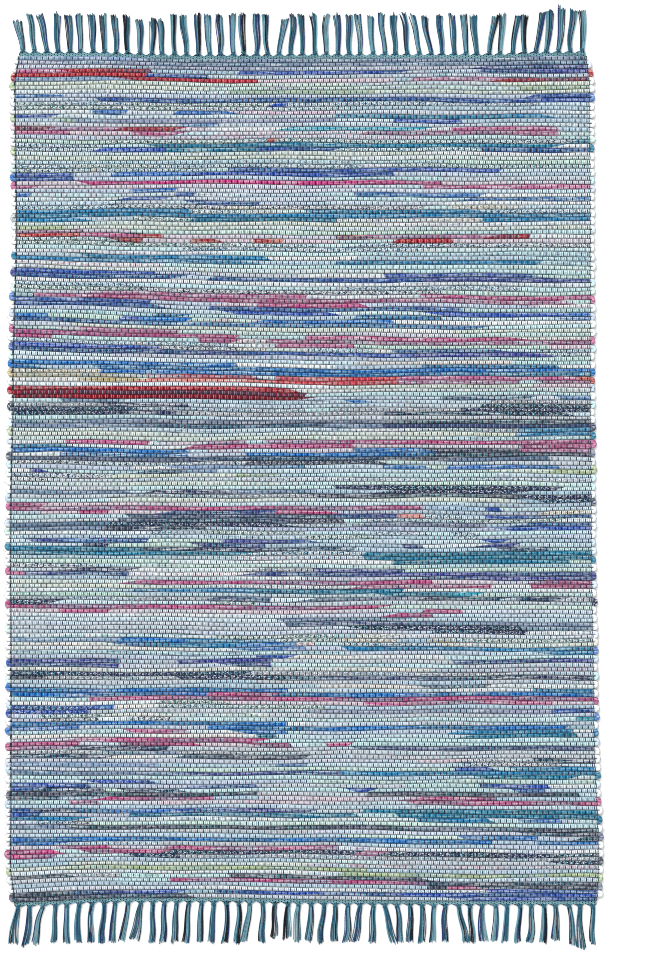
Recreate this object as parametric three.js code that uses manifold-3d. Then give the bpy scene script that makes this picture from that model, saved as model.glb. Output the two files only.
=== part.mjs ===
// Hand-woven cotton rag rug with knotted warp fringes, lying flat on a floor.
// Millimetres. X runs across the rug, Y along its warp towards the head, Z up from the floor.
import * as THREE from 'three';
import { mergeVertices } from 'three/addons/utils/BufferGeometryUtils.js';
import Module from 'manifold-3d';

const wasm = await Module();
wasm.setup();

// Rag weave: folded cotton strips laid side by side, one rib for each row.
const RAG_ROWS = 204;
const ROW_PITCH = 8.4;
const WEAVE_LENGTH = RAG_ROWS * ROW_PITCH;
const RIB_CREST = 7.0; // top of a plump rag above the floor
const RIB_VALLEY = 4.9; // where two rags meet under the warp
const RIB_SLACK = 0.9; // how much lower the thinnest rag lies
const EDGE_CREST = 6.0; // the edge warp pulls the rags down
const EDGE_VALLEY = 4.3;
const ROW_WANDER = 1.8; // how far a row strays from a straight line
const WANDER_FADE = 10; // rows at either end that lie straight again

// Selvedge: each rag turns back round the edge warp and bulges past it as a loop of two rows.
const LOOP_REACH = 12.0;
const LOOP_NOTCH = 6.5; // how far the weave draws back between two loops
const LOOP_CREST = 5.2;
const LOOP_VALLEY = 3.6;
const UNDERSIDE_TUCK = 2.0; // the loops round under towards the floor
const LOOP_LINES = 4; // across-lines in one loop: two rows of two lines

// Outline: how far the loops reach from the middle, from the head (0) to the foot (1).
const OUTLINE = [
  { along: 0.0, left: 589, right: 589 },
  { along: 0.03, left: 597, right: 595 },
  { along: 0.21, left: 594, right: 597 },
  { along: 0.38, left: 601, right: 597 },
  { along: 0.57, left: 606, right: 599 },
  { along: 0.78, left: 605, right: 604 },
  { along: 0.96, left: 606, right: 614 },
  { along: 1.0, left: 599, right: 611 },
];

// Inner stations across the weave, as shares of the way from the left edge warp to the right.
const INNER_STATIONS = [0.32, 0.69];

// Heading: a narrow band of plain warp yarn at each end, which the fringe grows from.
const PART_GAP = 0.3;
const HEADING_DEPTH = 7.0;
const HEADING_HEIGHT = 3.4;
const HEADING_CHAMFER = 0.8;

// Fringe: knotted tassels of warp yarn, each built as three locks that part below the knot.
const KNOT_SECTIONS = [
  { out: -1.0, width: 16, height: 2.2 }, // the warp ends gather out of the heading
  { out: 4.5, width: 9.5, height: 6.4 }, // the knot
  { out: 7.5, width: 9.3, height: 4.2 }, // where the locks leave it
];
const LOCKS_PER_TASSEL = 3;
const LOCK_START = 6.0; // inside the knot
const LOCK_ROOT = { pitch: 2.9, width: 2.6, height: 3.4 };
const LOCK_TIP = { pitch: 4.6, width: 3.2, height: 2.6 };
const LENGTH_SCATTER = 3.0;
const ROOT_SCATTER = 1.8;
const LEAN_SCATTER = 2.5;
const COMMON_LEAN = -3.5; // the tips drift to the left at both ends
const TASSEL_CLEARANCE = 1.5; // a leaning tassel pushes the next one aside

// Tassels that stand out from their row: lean and reach are added to the common ones.
const HEAD_FRINGE = {
  tassels: 49,
  length: 79,
  unusual: [
    { at: 0, lean: -7, reach: -12, spread: 1.6 },
    { at: 1, lean: -8, reach: 2, spread: 0.8 },
    { at: 2, lean: -11, reach: 1, spread: 1.0 },
    { at: 10, lean: 3, reach: -8, spread: 1.0 },
    { at: 11, lean: 3, reach: -9, spread: 1.0 },
    { at: 12, lean: 0, reach: -10, spread: 0.9 },
    { at: 22, lean: 16, reach: -9, spread: 1.1 },
    { at: 26, lean: 5, reach: 0, spread: 0.8 },
    { at: 31, lean: -1, reach: 2, spread: 0.8 },
    { at: 33, lean: -6, reach: 3, spread: 1.0 },
    { at: 34, lean: -12, reach: 2, spread: 0.9 },
    { at: 35, lean: -9, reach: -2, spread: 1.0 },
    { at: 40, lean: 13, reach: -2, spread: 1.2 },
    { at: 42, lean: 16, reach: 1, spread: 1.0 },
    { at: 44, lean: 16, reach: 4, spread: 1.0 },
    { at: 45, lean: 8, reach: 11, spread: 1.0 },
    { at: 46, lean: 10, reach: 15, spread: 1.0 },
    { at: 47, lean: 11, reach: 12, spread: 1.1 },
    { at: 48, lean: 5, reach: 9, spread: 1.0 },
  ],
};
const FOOT_FRINGE = {
  tassels: 48,
  length: 78,
  unusual: [
    { at: 0, lean: -10, reach: 5, spread: 1.6 },
    { at: 1, lean: -7, reach: 7, spread: 1.0 },
    { at: 2, lean: -12, reach: 3, spread: 1.0 },
    { at: 9, lean: -11, reach: -5, spread: 1.0 },
    { at: 10, lean: -9, reach: -4, spread: 1.7 },
    { at: 19, lean: -8, reach: 0, spread: 1.0 },
    { at: 21, lean: 0, reach: -10, spread: 1.0 },
    { at: 22, lean: 3, reach: -8, spread: 1.4 },
    { at: 25, lean: -3, reach: 2, spread: 0.8 },
    { at: 28, lean: -7, reach: 2, spread: 1.0 },
    { at: 30, lean: 19, reach: 0, spread: 1.1 },
    { at: 36, lean: 17, reach: 0, spread: 1.0 },
    { at: 38, lean: 5, reach: 1, spread: 1.5 },
    { at: 44, lean: 6, reach: -2, spread: 1.4 },
    { at: 45, lean: 9, reach: 6, spread: 1.0 },
    { at: 46, lean: 0, reach: 13, spread: 1.6 },
    { at: 47, lean: 3, reach: 4, spread: 0.8 },
  ],
};

const ragCotton = new THREE.MeshStandardMaterial({ color: 0xb9c6d6, roughness: 0.95, metalness: 0 });
const warpCotton = new THREE.MeshStandardMaterial({ color: 0x4f7d86, roughness: 0.95, metalness: 0 });

// A repeatable unevenness between -1 and 1 for any whole number.
function uneven(seed) {
  const wave = Math.sin(seed * 12.9898 + 4.1414) * 43758.5453;
  return 2 * (wave - Math.floor(wave)) - 1;
}

// How far the loops reach to one side at a place along the rug.
function outlineReach(side, along) {
  const after = Math.max(1, OUTLINE.findIndex((row) => row.along >= along));
  const [from, to] = [OUTLINE[after - 1], OUTLINE[after]];
  const share = THREE.MathUtils.smoothstep(along, from.along, to.along);
  return THREE.MathUtils.lerp(from[side], to[side], share);
}

// One line of points across the top of the weave, with the two points under its ends.
function acrossLine(line, lineCount) {
  const along = line / lineCount;
  const y = WEAVE_LENGTH * (0.5 - along);
  const crest = line % 2 === 1;
  const row = Math.floor(line / 2);
  const plumpness = RIB_CREST - RIB_SLACK * Math.abs(uneven(row));
  const calm = Math.min(1, row / WANDER_FADE, (RAG_ROWS - row) / WANDER_FADE);

  // The rag joins rows in pairs, and the pairs at the right start one row later.
  const notchLeft = line % LOOP_LINES === 0;
  const notchRight = (line + LOOP_LINES / 2) % LOOP_LINES === 0;
  const left = -outlineReach('left', along) + (notchLeft ? LOOP_NOTCH : 0);
  const right = outlineReach('right', along) - (notchRight ? LOOP_NOTCH : 0);
  const edgeLeft = -outlineReach('left', along) + LOOP_REACH;
  const edgeRight = outlineReach('right', along) - LOOP_REACH;

  const top = [new THREE.Vector3(left, y, notchLeft ? LOOP_VALLEY : LOOP_CREST)];
  top.push(new THREE.Vector3(edgeLeft, y, crest ? EDGE_CREST : EDGE_VALLEY));
  INNER_STATIONS.forEach((share, station) => {
    const wander = ROW_WANDER * calm * Math.sin(along * (17 + 8 * station) + 2 * station);
    const x = THREE.MathUtils.lerp(edgeLeft, edgeRight, share);
    top.push(new THREE.Vector3(x, y + wander, crest ? plumpness : RIB_VALLEY));
  });
  top.push(new THREE.Vector3(edgeRight, y, crest ? EDGE_CREST : EDGE_VALLEY));
  top.push(new THREE.Vector3(right, y, notchRight ? LOOP_VALLEY : LOOP_CREST));

  const under = [
    new THREE.Vector3(left + UNDERSIDE_TUCK, y, 0),
    new THREE.Vector3(right - UNDERSIDE_TUCK, y, 0),
  ];
  return [...top, ...under];
}

// The whole weave as one closed body: ribbed on top, looped at the selvedges, flat below.
function wovenBodyGeometry() {
  const lineCount = 2 * RAG_ROWS;
  const stations = INNER_STATIONS.length + 4;
  const perLine = stations + 2;
  const points = [];
  for (let line = 0; line <= lineCount; line += 1) points.push(...acrossLine(line, lineCount));

  const faces = [];
  const quad = (a, b, c, d) => faces.push(a, b, c, a, c, d);
  for (let line = 0; line < lineCount; line += 1) {
    const near = line * perLine;
    const far = near + perLine;
    for (let s = 0; s < stations - 1; s += 1) quad(near + s, far + s, far + s + 1, near + s + 1);
    const [underLeft, underRight, lastTop] = [stations, stations + 1, stations - 1];
    quad(near + underLeft, near + underRight, far + underRight, far + underLeft);
    quad(near + underLeft, far + underLeft, far, near);
    quad(near + lastTop, far + lastTop, far + underRight, near + underRight);
  }

  // The cut ends, at the head and at the foot.
  const foot = lineCount * perLine;
  for (let s = 0; s < stations - 1; s += 1) {
    faces.push(stations, s, s + 1);
    faces.push(foot + stations, foot + s + 1, foot + s);
  }
  faces.push(stations, stations - 1, stations + 1);
  faces.push(foot + stations, foot + stations + 1, foot + stations - 1);

  const geometry = new THREE.BufferGeometry().setFromPoints(points);
  geometry.setIndex(faces);
  return geometry;
}

function toSolid(geometry) {
  const bare = geometry.clone();
  bare.deleteAttribute('normal');
  bare.deleteAttribute('uv');
  const merged = mergeVertices(bare, 1e-4);
  return new wasm.Manifold(new wasm.Mesh({
    numProp: 3,
    vertProperties: new Float32Array(merged.attributes.position.array),
    triVerts: new Uint32Array(merged.index.array),
  }));
}

function toGeometry(solid) {
  const mesh = solid.getMesh();
  const geometry = new THREE.BufferGeometry();
  geometry.setAttribute('position', new THREE.BufferAttribute(mesh.vertProperties, mesh.numProp));
  geometry.setIndex(new THREE.BufferAttribute(mesh.triVerts, 1));
  geometry.computeVertexNormals();
  return geometry;
}

// The heading band, chamfered on top, from one edge warp to the other; it grows towards +Y.
function headingGeometry(left, right) {
  const profile = new THREE.Shape([
    new THREE.Vector2(0, 0),
    new THREE.Vector2(HEADING_DEPTH, 0),
    new THREE.Vector2(HEADING_DEPTH, HEADING_HEIGHT - HEADING_CHAMFER),
    new THREE.Vector2(HEADING_DEPTH - HEADING_CHAMFER, HEADING_HEIGHT),
    new THREE.Vector2(0, HEADING_HEIGHT),
  ]);
  const band = new THREE.ExtrudeGeometry(profile, { depth: right - left, bevelEnabled: false });
  // The profile's x and y become the rug's Y and Z, and its depth runs along X.
  band.applyMatrix4(new THREE.Matrix4().set(0, 0, 1, left, 1, 0, 0, 0, 0, 1, 0, 0, 0, 0, 0, 1));
  return band;
}

// A closed solid through a row of rings of points, each ring counter-clockwise seen from its start.
function loftGeometry(rings) {
  const around = rings[0].length;
  const faces = [];
  for (let ring = 0; ring < rings.length - 1; ring += 1) {
    for (let side = 0; side < around; side += 1) {
      const [near, next] = [ring * around + side, ring * around + ((side + 1) % around)];
      faces.push(near, near + around, next + around, near, next + around, next);
    }
  }
  const last = (rings.length - 1) * around;
  for (let side = 1; side < around - 1; side += 1) {
    faces.push(0, side, side + 1, last, last + side + 1, last + side);
  }
  const geometry = new THREE.BufferGeometry().setFromPoints(rings.flat());
  geometry.setIndex(faces);
  return geometry;
}

// A knot, with the triangle of warp ends that it gathers from the outer edge of the heading.
function knotGeometry(x) {
  return loftGeometry(KNOT_SECTIONS.map(({ out, width, height }) => {
    const y = HEADING_DEPTH + out;
    const shoulder = width * 0.36;
    return [
      new THREE.Vector3(x - width / 2, y, 0),
      new THREE.Vector3(x + width / 2, y, 0),
      new THREE.Vector3(x + shoulder, y, height),
      new THREE.Vector3(x - shoulder, y, height),
    ];
  }));
}

// One lock: a three-sided strand that lies with its flat side on the floor.
function lockGeometry(root, tip) {
  const sections = [{ at: root, ...LOCK_ROOT }, { at: tip, ...LOCK_TIP }];
  return loftGeometry(sections.map(({ at, width, height }) => [
    new THREE.Vector3(at.x - width / 2, at.y, 0),
    new THREE.Vector3(at.x + width / 2, at.y, 0),
    new THREE.Vector3(at.x, at.y, height),
  ]));
}

// Where each tassel of a fringe is knotted, where its tip lies, and how far its locks spread.
function tasselRow(fringe, left, right, seed) {
  const margin = KNOT_SECTIONS[0].width / 2;
  const last = fringe.tassels - 1;
  const row = [];
  for (let index = 0; index <= last; index += 1) {
    const odd = fringe.unusual.find((tassel) => tassel.at === index) ?? { lean: 0, reach: 0, spread: 1 };
    const scatter = (index === 0 || index === last ? 0 : ROOT_SCATTER) * uneven(seed + 3 * index);
    const x = THREE.MathUtils.lerp(left + margin, right - margin, index / last) + scatter;
    const halfWidth = LOCK_TIP.pitch * odd.spread + LOCK_TIP.width / 2;
    const freeTip = x + COMMON_LEAN + odd.lean + LEAN_SCATTER * uneven(seed + 3 * index + 1);
    const before = row[index - 1];
    const nearest = before ? before.tip + before.halfWidth + halfWidth + TASSEL_CLEARANCE : freeTip;
    const tip = Math.max(freeTip, nearest);
    row.push({ x, tip, halfWidth, spread: odd.spread, length: fringe.length + odd.reach });
  }
  return row;
}

// A knot and its three locks, rooted on the outer edge of the heading.
function tasselGeometries(tassel, seed) {
  const pieces = [knotGeometry(tassel.x)];
  for (let lock = 0; lock < LOCKS_PER_TASSEL; lock += 1) {
    const place = lock - (LOCKS_PER_TASSEL - 1) / 2;
    const length = tassel.length + LENGTH_SCATTER * uneven(seed + lock);
    const rootX = tassel.x + place * LOCK_ROOT.pitch;
    const tipX = tassel.tip + place * LOCK_TIP.pitch * tassel.spread;
    const root = new THREE.Vector3(rootX, HEADING_DEPTH + LOCK_START, 0);
    pieces.push(lockGeometry(root, new THREE.Vector3(tipX, HEADING_DEPTH + length, 0)));
  }
  return pieces;
}

// A heading with its whole row of tassels as one body, which grows towards +Y from y = 0.
function fringeGeometry(fringe, left, right, seed) {
  const pieces = [headingGeometry(left, right)];
  tasselRow(fringe, left, right, seed).forEach((tassel, index) => {
    pieces.push(...tasselGeometries(tassel, seed + 500 + 10 * index));
  });
  return toGeometry(pieces.map(toSolid).reduce((whole, piece) => whole.add(piece)));
}

// The foot's fringe grows towards -Y, so it is made the other way round and mirrored in Y.
function mirroredInY(geometry) {
  const mirrored = geometry.clone().scale(1, -1, 1);
  const order = mirrored.index.array;
  for (let at = 0; at < order.length; at += 3) [order[at], order[at + 1]] = [order[at + 1], order[at]];
  mirrored.computeVertexNormals();
  return mirrored;
}

function named(name, geometry, material) {
  const mesh = new THREE.Mesh(geometry, material);
  mesh.name = name;
  return mesh;
}

const headingReach = (side, along) => outlineReach(side, along) - LOOP_REACH;
const fringeStart = WEAVE_LENGTH / 2 + PART_GAP;

const body = named('woven_body', wovenBodyGeometry(), ragCotton);
const headFringe = named(
  'fringe_head',
  fringeGeometry(HEAD_FRINGE, -headingReach('left', 0), headingReach('right', 0), 1000),
  warpCotton,
);
headFringe.position.y = fringeStart;
const footFringe = named(
  'fringe_foot',
  mirroredInY(fringeGeometry(FOOT_FRINGE, -headingReach('left', 1), headingReach('right', 1), 2000)),
  warpCotton,
);
footFringe.position.y = -fringeStart;

const rug = new THREE.Group();
rug.add(body, headFringe, footFringe);

// The origin is the middle of the rug's footprint, on the floor.
const footprint = new THREE.Box3().setFromObject(rug);
rug.position.set(-(footprint.min.x + footprint.max.x) / 2, -(footprint.min.y + footprint.max.y) / 2, 0);
rug.updateMatrixWorld(true);

export default rug;
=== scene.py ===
"""A handwoven rag rug: cotton rag strips beaten onto a striped warp, with knotted fringes at both ends."""

import bpy
import numpy as np
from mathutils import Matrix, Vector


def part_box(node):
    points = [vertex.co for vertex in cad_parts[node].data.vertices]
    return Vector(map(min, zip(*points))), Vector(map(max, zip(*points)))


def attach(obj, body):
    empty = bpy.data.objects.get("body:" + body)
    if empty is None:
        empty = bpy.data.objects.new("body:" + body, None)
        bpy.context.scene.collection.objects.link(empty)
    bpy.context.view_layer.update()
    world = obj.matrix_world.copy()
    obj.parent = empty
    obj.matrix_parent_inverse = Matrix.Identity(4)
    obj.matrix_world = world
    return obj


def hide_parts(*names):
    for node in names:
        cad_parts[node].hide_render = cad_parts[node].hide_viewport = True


bl_info = {
    "name": "Handwoven Rag Rug",
    "version": (1, 0, 0),
    "blender": (4, 5, 0),
    "location": "View3D > Sidebar > Rag Rug",
    "description": "Builds a handwoven cotton rag rug with its warp, selvedges, headings and knotted fringes",
    "category": "Add Mesh",
}

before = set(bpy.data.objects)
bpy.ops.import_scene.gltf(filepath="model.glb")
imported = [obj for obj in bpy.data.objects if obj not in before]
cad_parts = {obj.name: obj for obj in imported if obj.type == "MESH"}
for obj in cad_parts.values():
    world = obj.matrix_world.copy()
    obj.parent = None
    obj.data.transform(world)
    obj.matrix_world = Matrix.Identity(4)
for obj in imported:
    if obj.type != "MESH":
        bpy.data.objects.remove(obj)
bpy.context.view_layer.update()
CLOTH_LOW, CLOTH_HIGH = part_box("woven_body")

MM = 0.001
CM = 0.01

# The weave. Row 0 is at the head, seam 0 is the head edge, and seam ROWS is the foot edge.
ROWS = 204
ROW_PITCH = (CLOTH_HIGH.y - CLOTH_LOW.y) / ROWS
CLOTH_WIDTH = 1184 * MM
WARPS = 576
WARP_REPEAT = 6
LOOP_REACH = 12 * MM
LOOP_TIP_HEIGHT = 5.2 * MM
GROUND_GAP = 0.5 * MM
PICK_GAP = 0.3 * MM
HEADING_PICKS = 3
HEADING_DEPTH = 7 * MM
HEADING_PITCH = (HEADING_DEPTH - PICK_GAP) / HEADING_PICKS

# The rag: how full it is, where its rings stand across a row and round a turn, and its section.
BULK = 0.94
BULK_SWING = 0.06
BULK_RIPPLE = 2.1  # how much shorter the waves of its fullness are than those of its seams
STATIONS = np.linspace(0.003, 0.997, 46)
TURN_ANGLES = np.radians((8, 34, 62, 90, 118, 146, 172))
STRAIGHT = -1.0  # stands for the angle of a ring outside the turns
TURN_HALF_WIDTH = 4.1 * MM
TURN_RADIUS = 4.2 * MM
TURN_SQUARE_Y = 0.6  # powers under 1 make a turn squarer than an arc, so that it lies close to its neighbours
TURN_SQUARE_X = 0.5
RAG_PROFILE = np.array(
    [(-1, 0), (-0.8, 0.6), (-0.35, 0.95), (0.35, 0.95), (0.8, 0.6), (1, 0), (0.55, -0.9), (-0.55, -0.9)])
RAG_UNEVEN = 0.03

# Pale rags fill what the plan leaves free, in cm, and two rags overlap along a slanting join.
FREE_LEAST = 3
PALE_RAG = (30, 90)
PALE_RAG_LEAST = 15
SHORT_JOIN = 5
LONG_JOIN = 32
LONG_JOINS = 0.5  # share of the joins that may be long
JOIN_ROOM = 0.4  # the most that a join may take of the shorter rag beside it
JOIN_CLEAR = 5 * MM
JOIN_HALF = 1.5 * MM
REACH_SPREAD = (0.7, 1.1)
PATTERN_SHIFT = 50  # metres that a rag's streaks and flecks may be moved by, so that no two rags share them

# The warp ends, in the order of their repeat, and the pieces that they are made as. Black and navy ends are
# drawn wider than they are spun and the others thinner, so that the dark ticks show from a step away.
WARP_COLOURS = ("black", "teal", "sage", "navy", "teal", "sage")
WARP_PIECES = (
    ("warp_black", 0), ("warp_teal_even", 4), ("warp_sage_even", 2),
    ("warp_navy", 3), ("warp_teal_odd", 1), ("warp_sage_odd", 5),
)
DARK_SPREAD = 1.35
PALE_SPREAD = 0.53
OVER_RAG = 0.35 * MM
OVER_HEADING = 3.2 * MM
UNDER_RAG = 0.25 * MM
CROSSING_HALF = 0.29  # half of a crossing's flat top, as a share of the row
WARP_SAG = 0.2 * MM
WARP_WOBBLE = 0.16 * MM
WARP_DRIFT = 0.26 * MM
DRIFT_WAVE = (170, 420)  # mm
WIDTH_SPREAD = (0.85, 1.15)
YARN_ROUNDING = np.radians(38)  # how far the normals of a flat ribbon lean out, to look round

# Every round yarn is a tube of five sides.
YARN_SIDES = 5
SELVEDGE_RADIUS = 0.95 * MM
SELVEDGE_INSET = 0.2  # mm from the selvedge line to the outer of its two yarns
SELVEDGE_PITCH = 1.4  # mm
SELVEDGE_SWING = 0.9 * MM
SELVEDGE_SETTLE = 0.15 * MM
SELVEDGE_STEPS = 4  # stations to a row
HEADING_RADIUS = 1.15 * MM
HEADING_HEIGHT = 1.7 * MM
HEADING_STATIONS = 240
HEADING_WANDER = 0.25 * MM
HEADING_LIFT = 0.1 * MM
HEADING_DRAW_IN = 0.998

# The fringe. A wrap of a knot is given by how far out it lies, in mm, and its lean.
KNOT_HEIGHT = 6.4 * MM
KNOT_WRAPS = ((-1.5, 0.45), (0.2, -0.35), (1.6, 0.2))
KNOT_MIDDLE = 3.2 * MM
WRAP_SIZE = (4.0 * MM, 3.0 * MM, 2.15 * MM)
WRAP_SPREAD = (0.9, 1.05)
WRAP_LEAN = 0.15
WRAP_ASIDE = 0.3 * MM
LOCK_TIP_HEIGHT = 2.6 * MM
LOCKS = 3
LOCK_GATHER = 2.6 * MM
TASSEL_YARNS = 12

# A yarn's way from the heading through its knot: each place as mm out from the heading and mm over the floor.
# Beyond the last it hangs free, and has sunk to its layer on the floor by a share of the rest of its length.
YARN_ROOT = (-2.2, 1.7)
YARN_GATHER = (0.4, 2.0)
YARN_KNOT = (2.9, 2.6)
YARN_FREE = (6.2, 3.0)
YARN_SUNK = 0.22
YARN_STATIONS = 10
KNOT_HALF = 3.0 * MM
YARN_LAYERS = (0.8, 2.1)  # mm over the floor
YARN_PITCH = 1.1 * MM
FAVOURITE = 0.3  # share of the yarns that take on the colour which leads in a tassel
COLOUR_MIXING = 1.3  # over 1, so that a few yarns stray from the others of their colour

# How far a tassel bows, waves and curls to either side, in mm, and how far its yarns differ from it.
TASSEL_BOW = 2.6
TASSEL_WAVE = 1.4
TASSEL_CURL = 1.5
YARN_BOW = 0.9 * MM
TIP_ASIDE = 0.5 * MM
TIP_OUT = 1.6 * MM
TIP_SPREAD = 1.25  # how much further apart yarns lie at their tips than below the knot

# Fibres on the face and at the selvedges. They are strewn over a little less than the whole cloth, in metres.
LINT_TUFTS = 90
LINT_RADIUS = 0.42 * MM
LOOSE_ENDS = 36
LOOSE_RADIUS = 0.32 * MM
LOOSE_OUT = 8 * MM
LOOSE_HEIGHT = 3.0 * MM
LINT_LIFT = 0.4 * MM
STREWN_HALF = (0.56, 0.83)
FIBRE_LENGTH = (4, 11)  # mm
FIBRE_STATIONS = 7
FIBRE_CURL = 2.2  # radians, to either side
FIBRE_RISE = 0.25 * MM
FIBRE_THIN = 0.45  # thickness of a fibre's ends, as a share of its middle's

# Seams wander a little by themselves, more over the longer waves, and sway together over some ten rows.
SEAM_WAVES = 2 * np.pi / (np.array((75.0, 150.0, 290.0, 700.0)) * MM)
SEAM_WANDER = np.array((0.2, 0.3, 0.45, 0.8)) * MM
SWAY_WAVES = 2 * np.pi / (np.array((330.0, 520.0, 810.0)) * MM)
SWAY_ROWS = 2 * np.pi / np.array((17.0, 26.0, 41.0))
SWAY = 2.2 * MM
EDGE_ROWS = 4

# The two ends: the name, the node of its fringe, the Y of the last rag's edge, and which way is outward.
ENDS = (("head", "fringe_head", CLOTH_HIGH.y, 1), ("foot", "fringe_foot", CLOTH_LOW.y, -1))

# Where the beaten rows dip below a straight line: centre row, reach in rows, and the dip in mm at cm across.
DIPS = (
    (63.6, 29, (0, 60, 118), (-8.1, 8.1, 8.1)),
    (102.0, 140, (0, 118), (-2.2, -2.2)),
    (132.0, 35, (10, 29, 49, 68, 88, 108), (-3, -2, 0, -0.5, -1, -0.5)),
    (194.0, 22, (0, 10, 22, 32, 60, 80, 118), (0, -2, -2, -1, 1, 4, 7)),
)

# The two ends are not quite straight: mm outward at cm across, fading over the rows beside them.
HEAD_BOW = ((0, 17, 27, 36, 60, 100, 108, 118), (2, 2, -2, -4, -3, -2, 2, 3))
FOOT_BOW = ((0, 7, 13, 22, 42, 60, 72, 92, 118), (5, 2.5, -1.5, -4.5, -4.5, -1, 0.5, 2, 2))
BOW_ROWS = 10

# Dyed and printed cottons that the rags were torn from: the dye, and the worn or lighter shade beside it.
DYES = {
    "blue": ("#3A74C0", "#A9C6EA"), "blue_grey": ("#768AA8", "#B4C2D6"),
    "bright_blue": ("#1268B8", "#4FB0DC"), "charcoal": ("#41465A", "#8B90A0"),
    "charcoal_blue": ("#3E4A6A", "#8794B2"), "cream_green": ("#D6E4DC", "#F0F4EE"),
    "crimson": ("#A00E28", "#D8102A"), "crimson_black": ("#82182C", "#C0142C"),
    "green": ("#37786A", "#9CC8B8"), "grey": ("#747E96", "#AEB6C8"), "indigo": ("#363F8E", "#969ECC"),
    "lilac_grey": ("#9AA2BE", "#CCD0E2"), "lime": ("#B0C49C", "#E0E8D0"), "magenta": ("#C0367E", "#E29CC0"),
    "magenta_rose": ("#B44A80", "#D8A6C2"), "mist_blue": ("#8CA6CC", "#C6D6EC"),
    "navy": ("#1E2C54", "#E6ECF8"), "navy_grey": ("#46547C", "#98A4C0"), "red": ("#AC2C40", "#F0B488"),
    "rose": ("#BE6492", "#E2B2CA"), "royal": ("#264CA8", "#86A6E2"), "salmon": ("#E28A84", "#F4CCC4"),
    "salmon_red": ("#D83C4C", "#F0948C"), "tan": ("#BCAC80", "#E2DAC0"), "teal": ("#12749A", "#4AB0C0"),
    "teal_blue": ("#1C7CB0", "#74BEDC"), "turquoise": ("#2CA2BE", "#90D4DE"),
}

# Undyed, bleached and washed-out cottons.
PALES = {
    "milk": "#F4FAFD", "ecru": "#F1F1EF", "ice": "#DBEEF9", "mist": "#C8DEEE", "aqua": "#D6F2F6",
    "mint": "#DAF2EA", "lilac": "#DFE6F5", "cream": "#EAF2E4", "dove": "#CADAE6", "sky": "#C0DDF0",
}
PALE_ZONES = (
    (6, ("mist", "dove", "lilac", "dove", "sky")),
    (9, ("mint", "cream", "milk")),
    (18, ("mist", "lilac", "milk", "ice")),
    (28, ("milk", "mint", "aqua", "milk", "ice")),
    (37, ("lilac", "ice", "milk", "aqua")),
    (42, ("cream", "mint", "milk")),
    (58, ("aqua", "milk", "mint", "milk")),
    (67, ("ice", "aqua", "mint", "milk")),
    (81, ("mint", "milk", "aqua", "ice", "ecru")),
    (90, ("ice", "milk", "aqua", "lilac")),
    (104, ("mint", "milk", "aqua", "cream", "ice")),
    (119, ("ice", "aqua", "mist", "dove", "mint", "milk")),
    (129, ("mint", "aqua", "ice", "mist", "milk")),
    (142, ("ice", "milk", "mist", "lilac", "mint")),
    (172, ("ice", "lilac", "milk", "ecru", "mist", "aqua")),
    (191, ("mist", "aqua", "ice", "mint", "lilac", "milk")),
    (204, ("ice", "aqua", "mist", "lilac", "milk")),
)
FAINT = ("#9CC0E0", "#A3CFC0", "#BFB4DA", "#AEB9C8", "#8FC8D4", "#E2B4C6", "#FFFFFF", "#93A7C4")

# How light a pale rag and its marks are, and its shares of streaks and flecks. Turns that the plan leaves
# free are pale rag or plain white with few marks.
PALE_LIGHT = (0.92, 1.06)
FAINT_LIGHT = (0.75, 1.0)
PALE_STREAKS = (0.1, 0.4)
PALE_FLECKS = (0.25, 0.45)
FLECKED_RAGS = 0.22
PALE_TURNS = 0.3
WHITE_LIGHT = (0.95, 1.08)
WHITE_MARKS = (0.15, 0.0)

# Each finish gives the share of streaks and of flecks in the second colour.
FINISHES = {
    "plain": (0.39, 0.13), "dark": (0.42, 0.08), "pale": (0.42, 0.12), "streak": (0.42, 0.12),
    "print": (0.20, 0.34), "washed": (0.30, 0.40), "fleck": (0.22, 0.22), "speckle": (0.16, 0.44),
}

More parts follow.
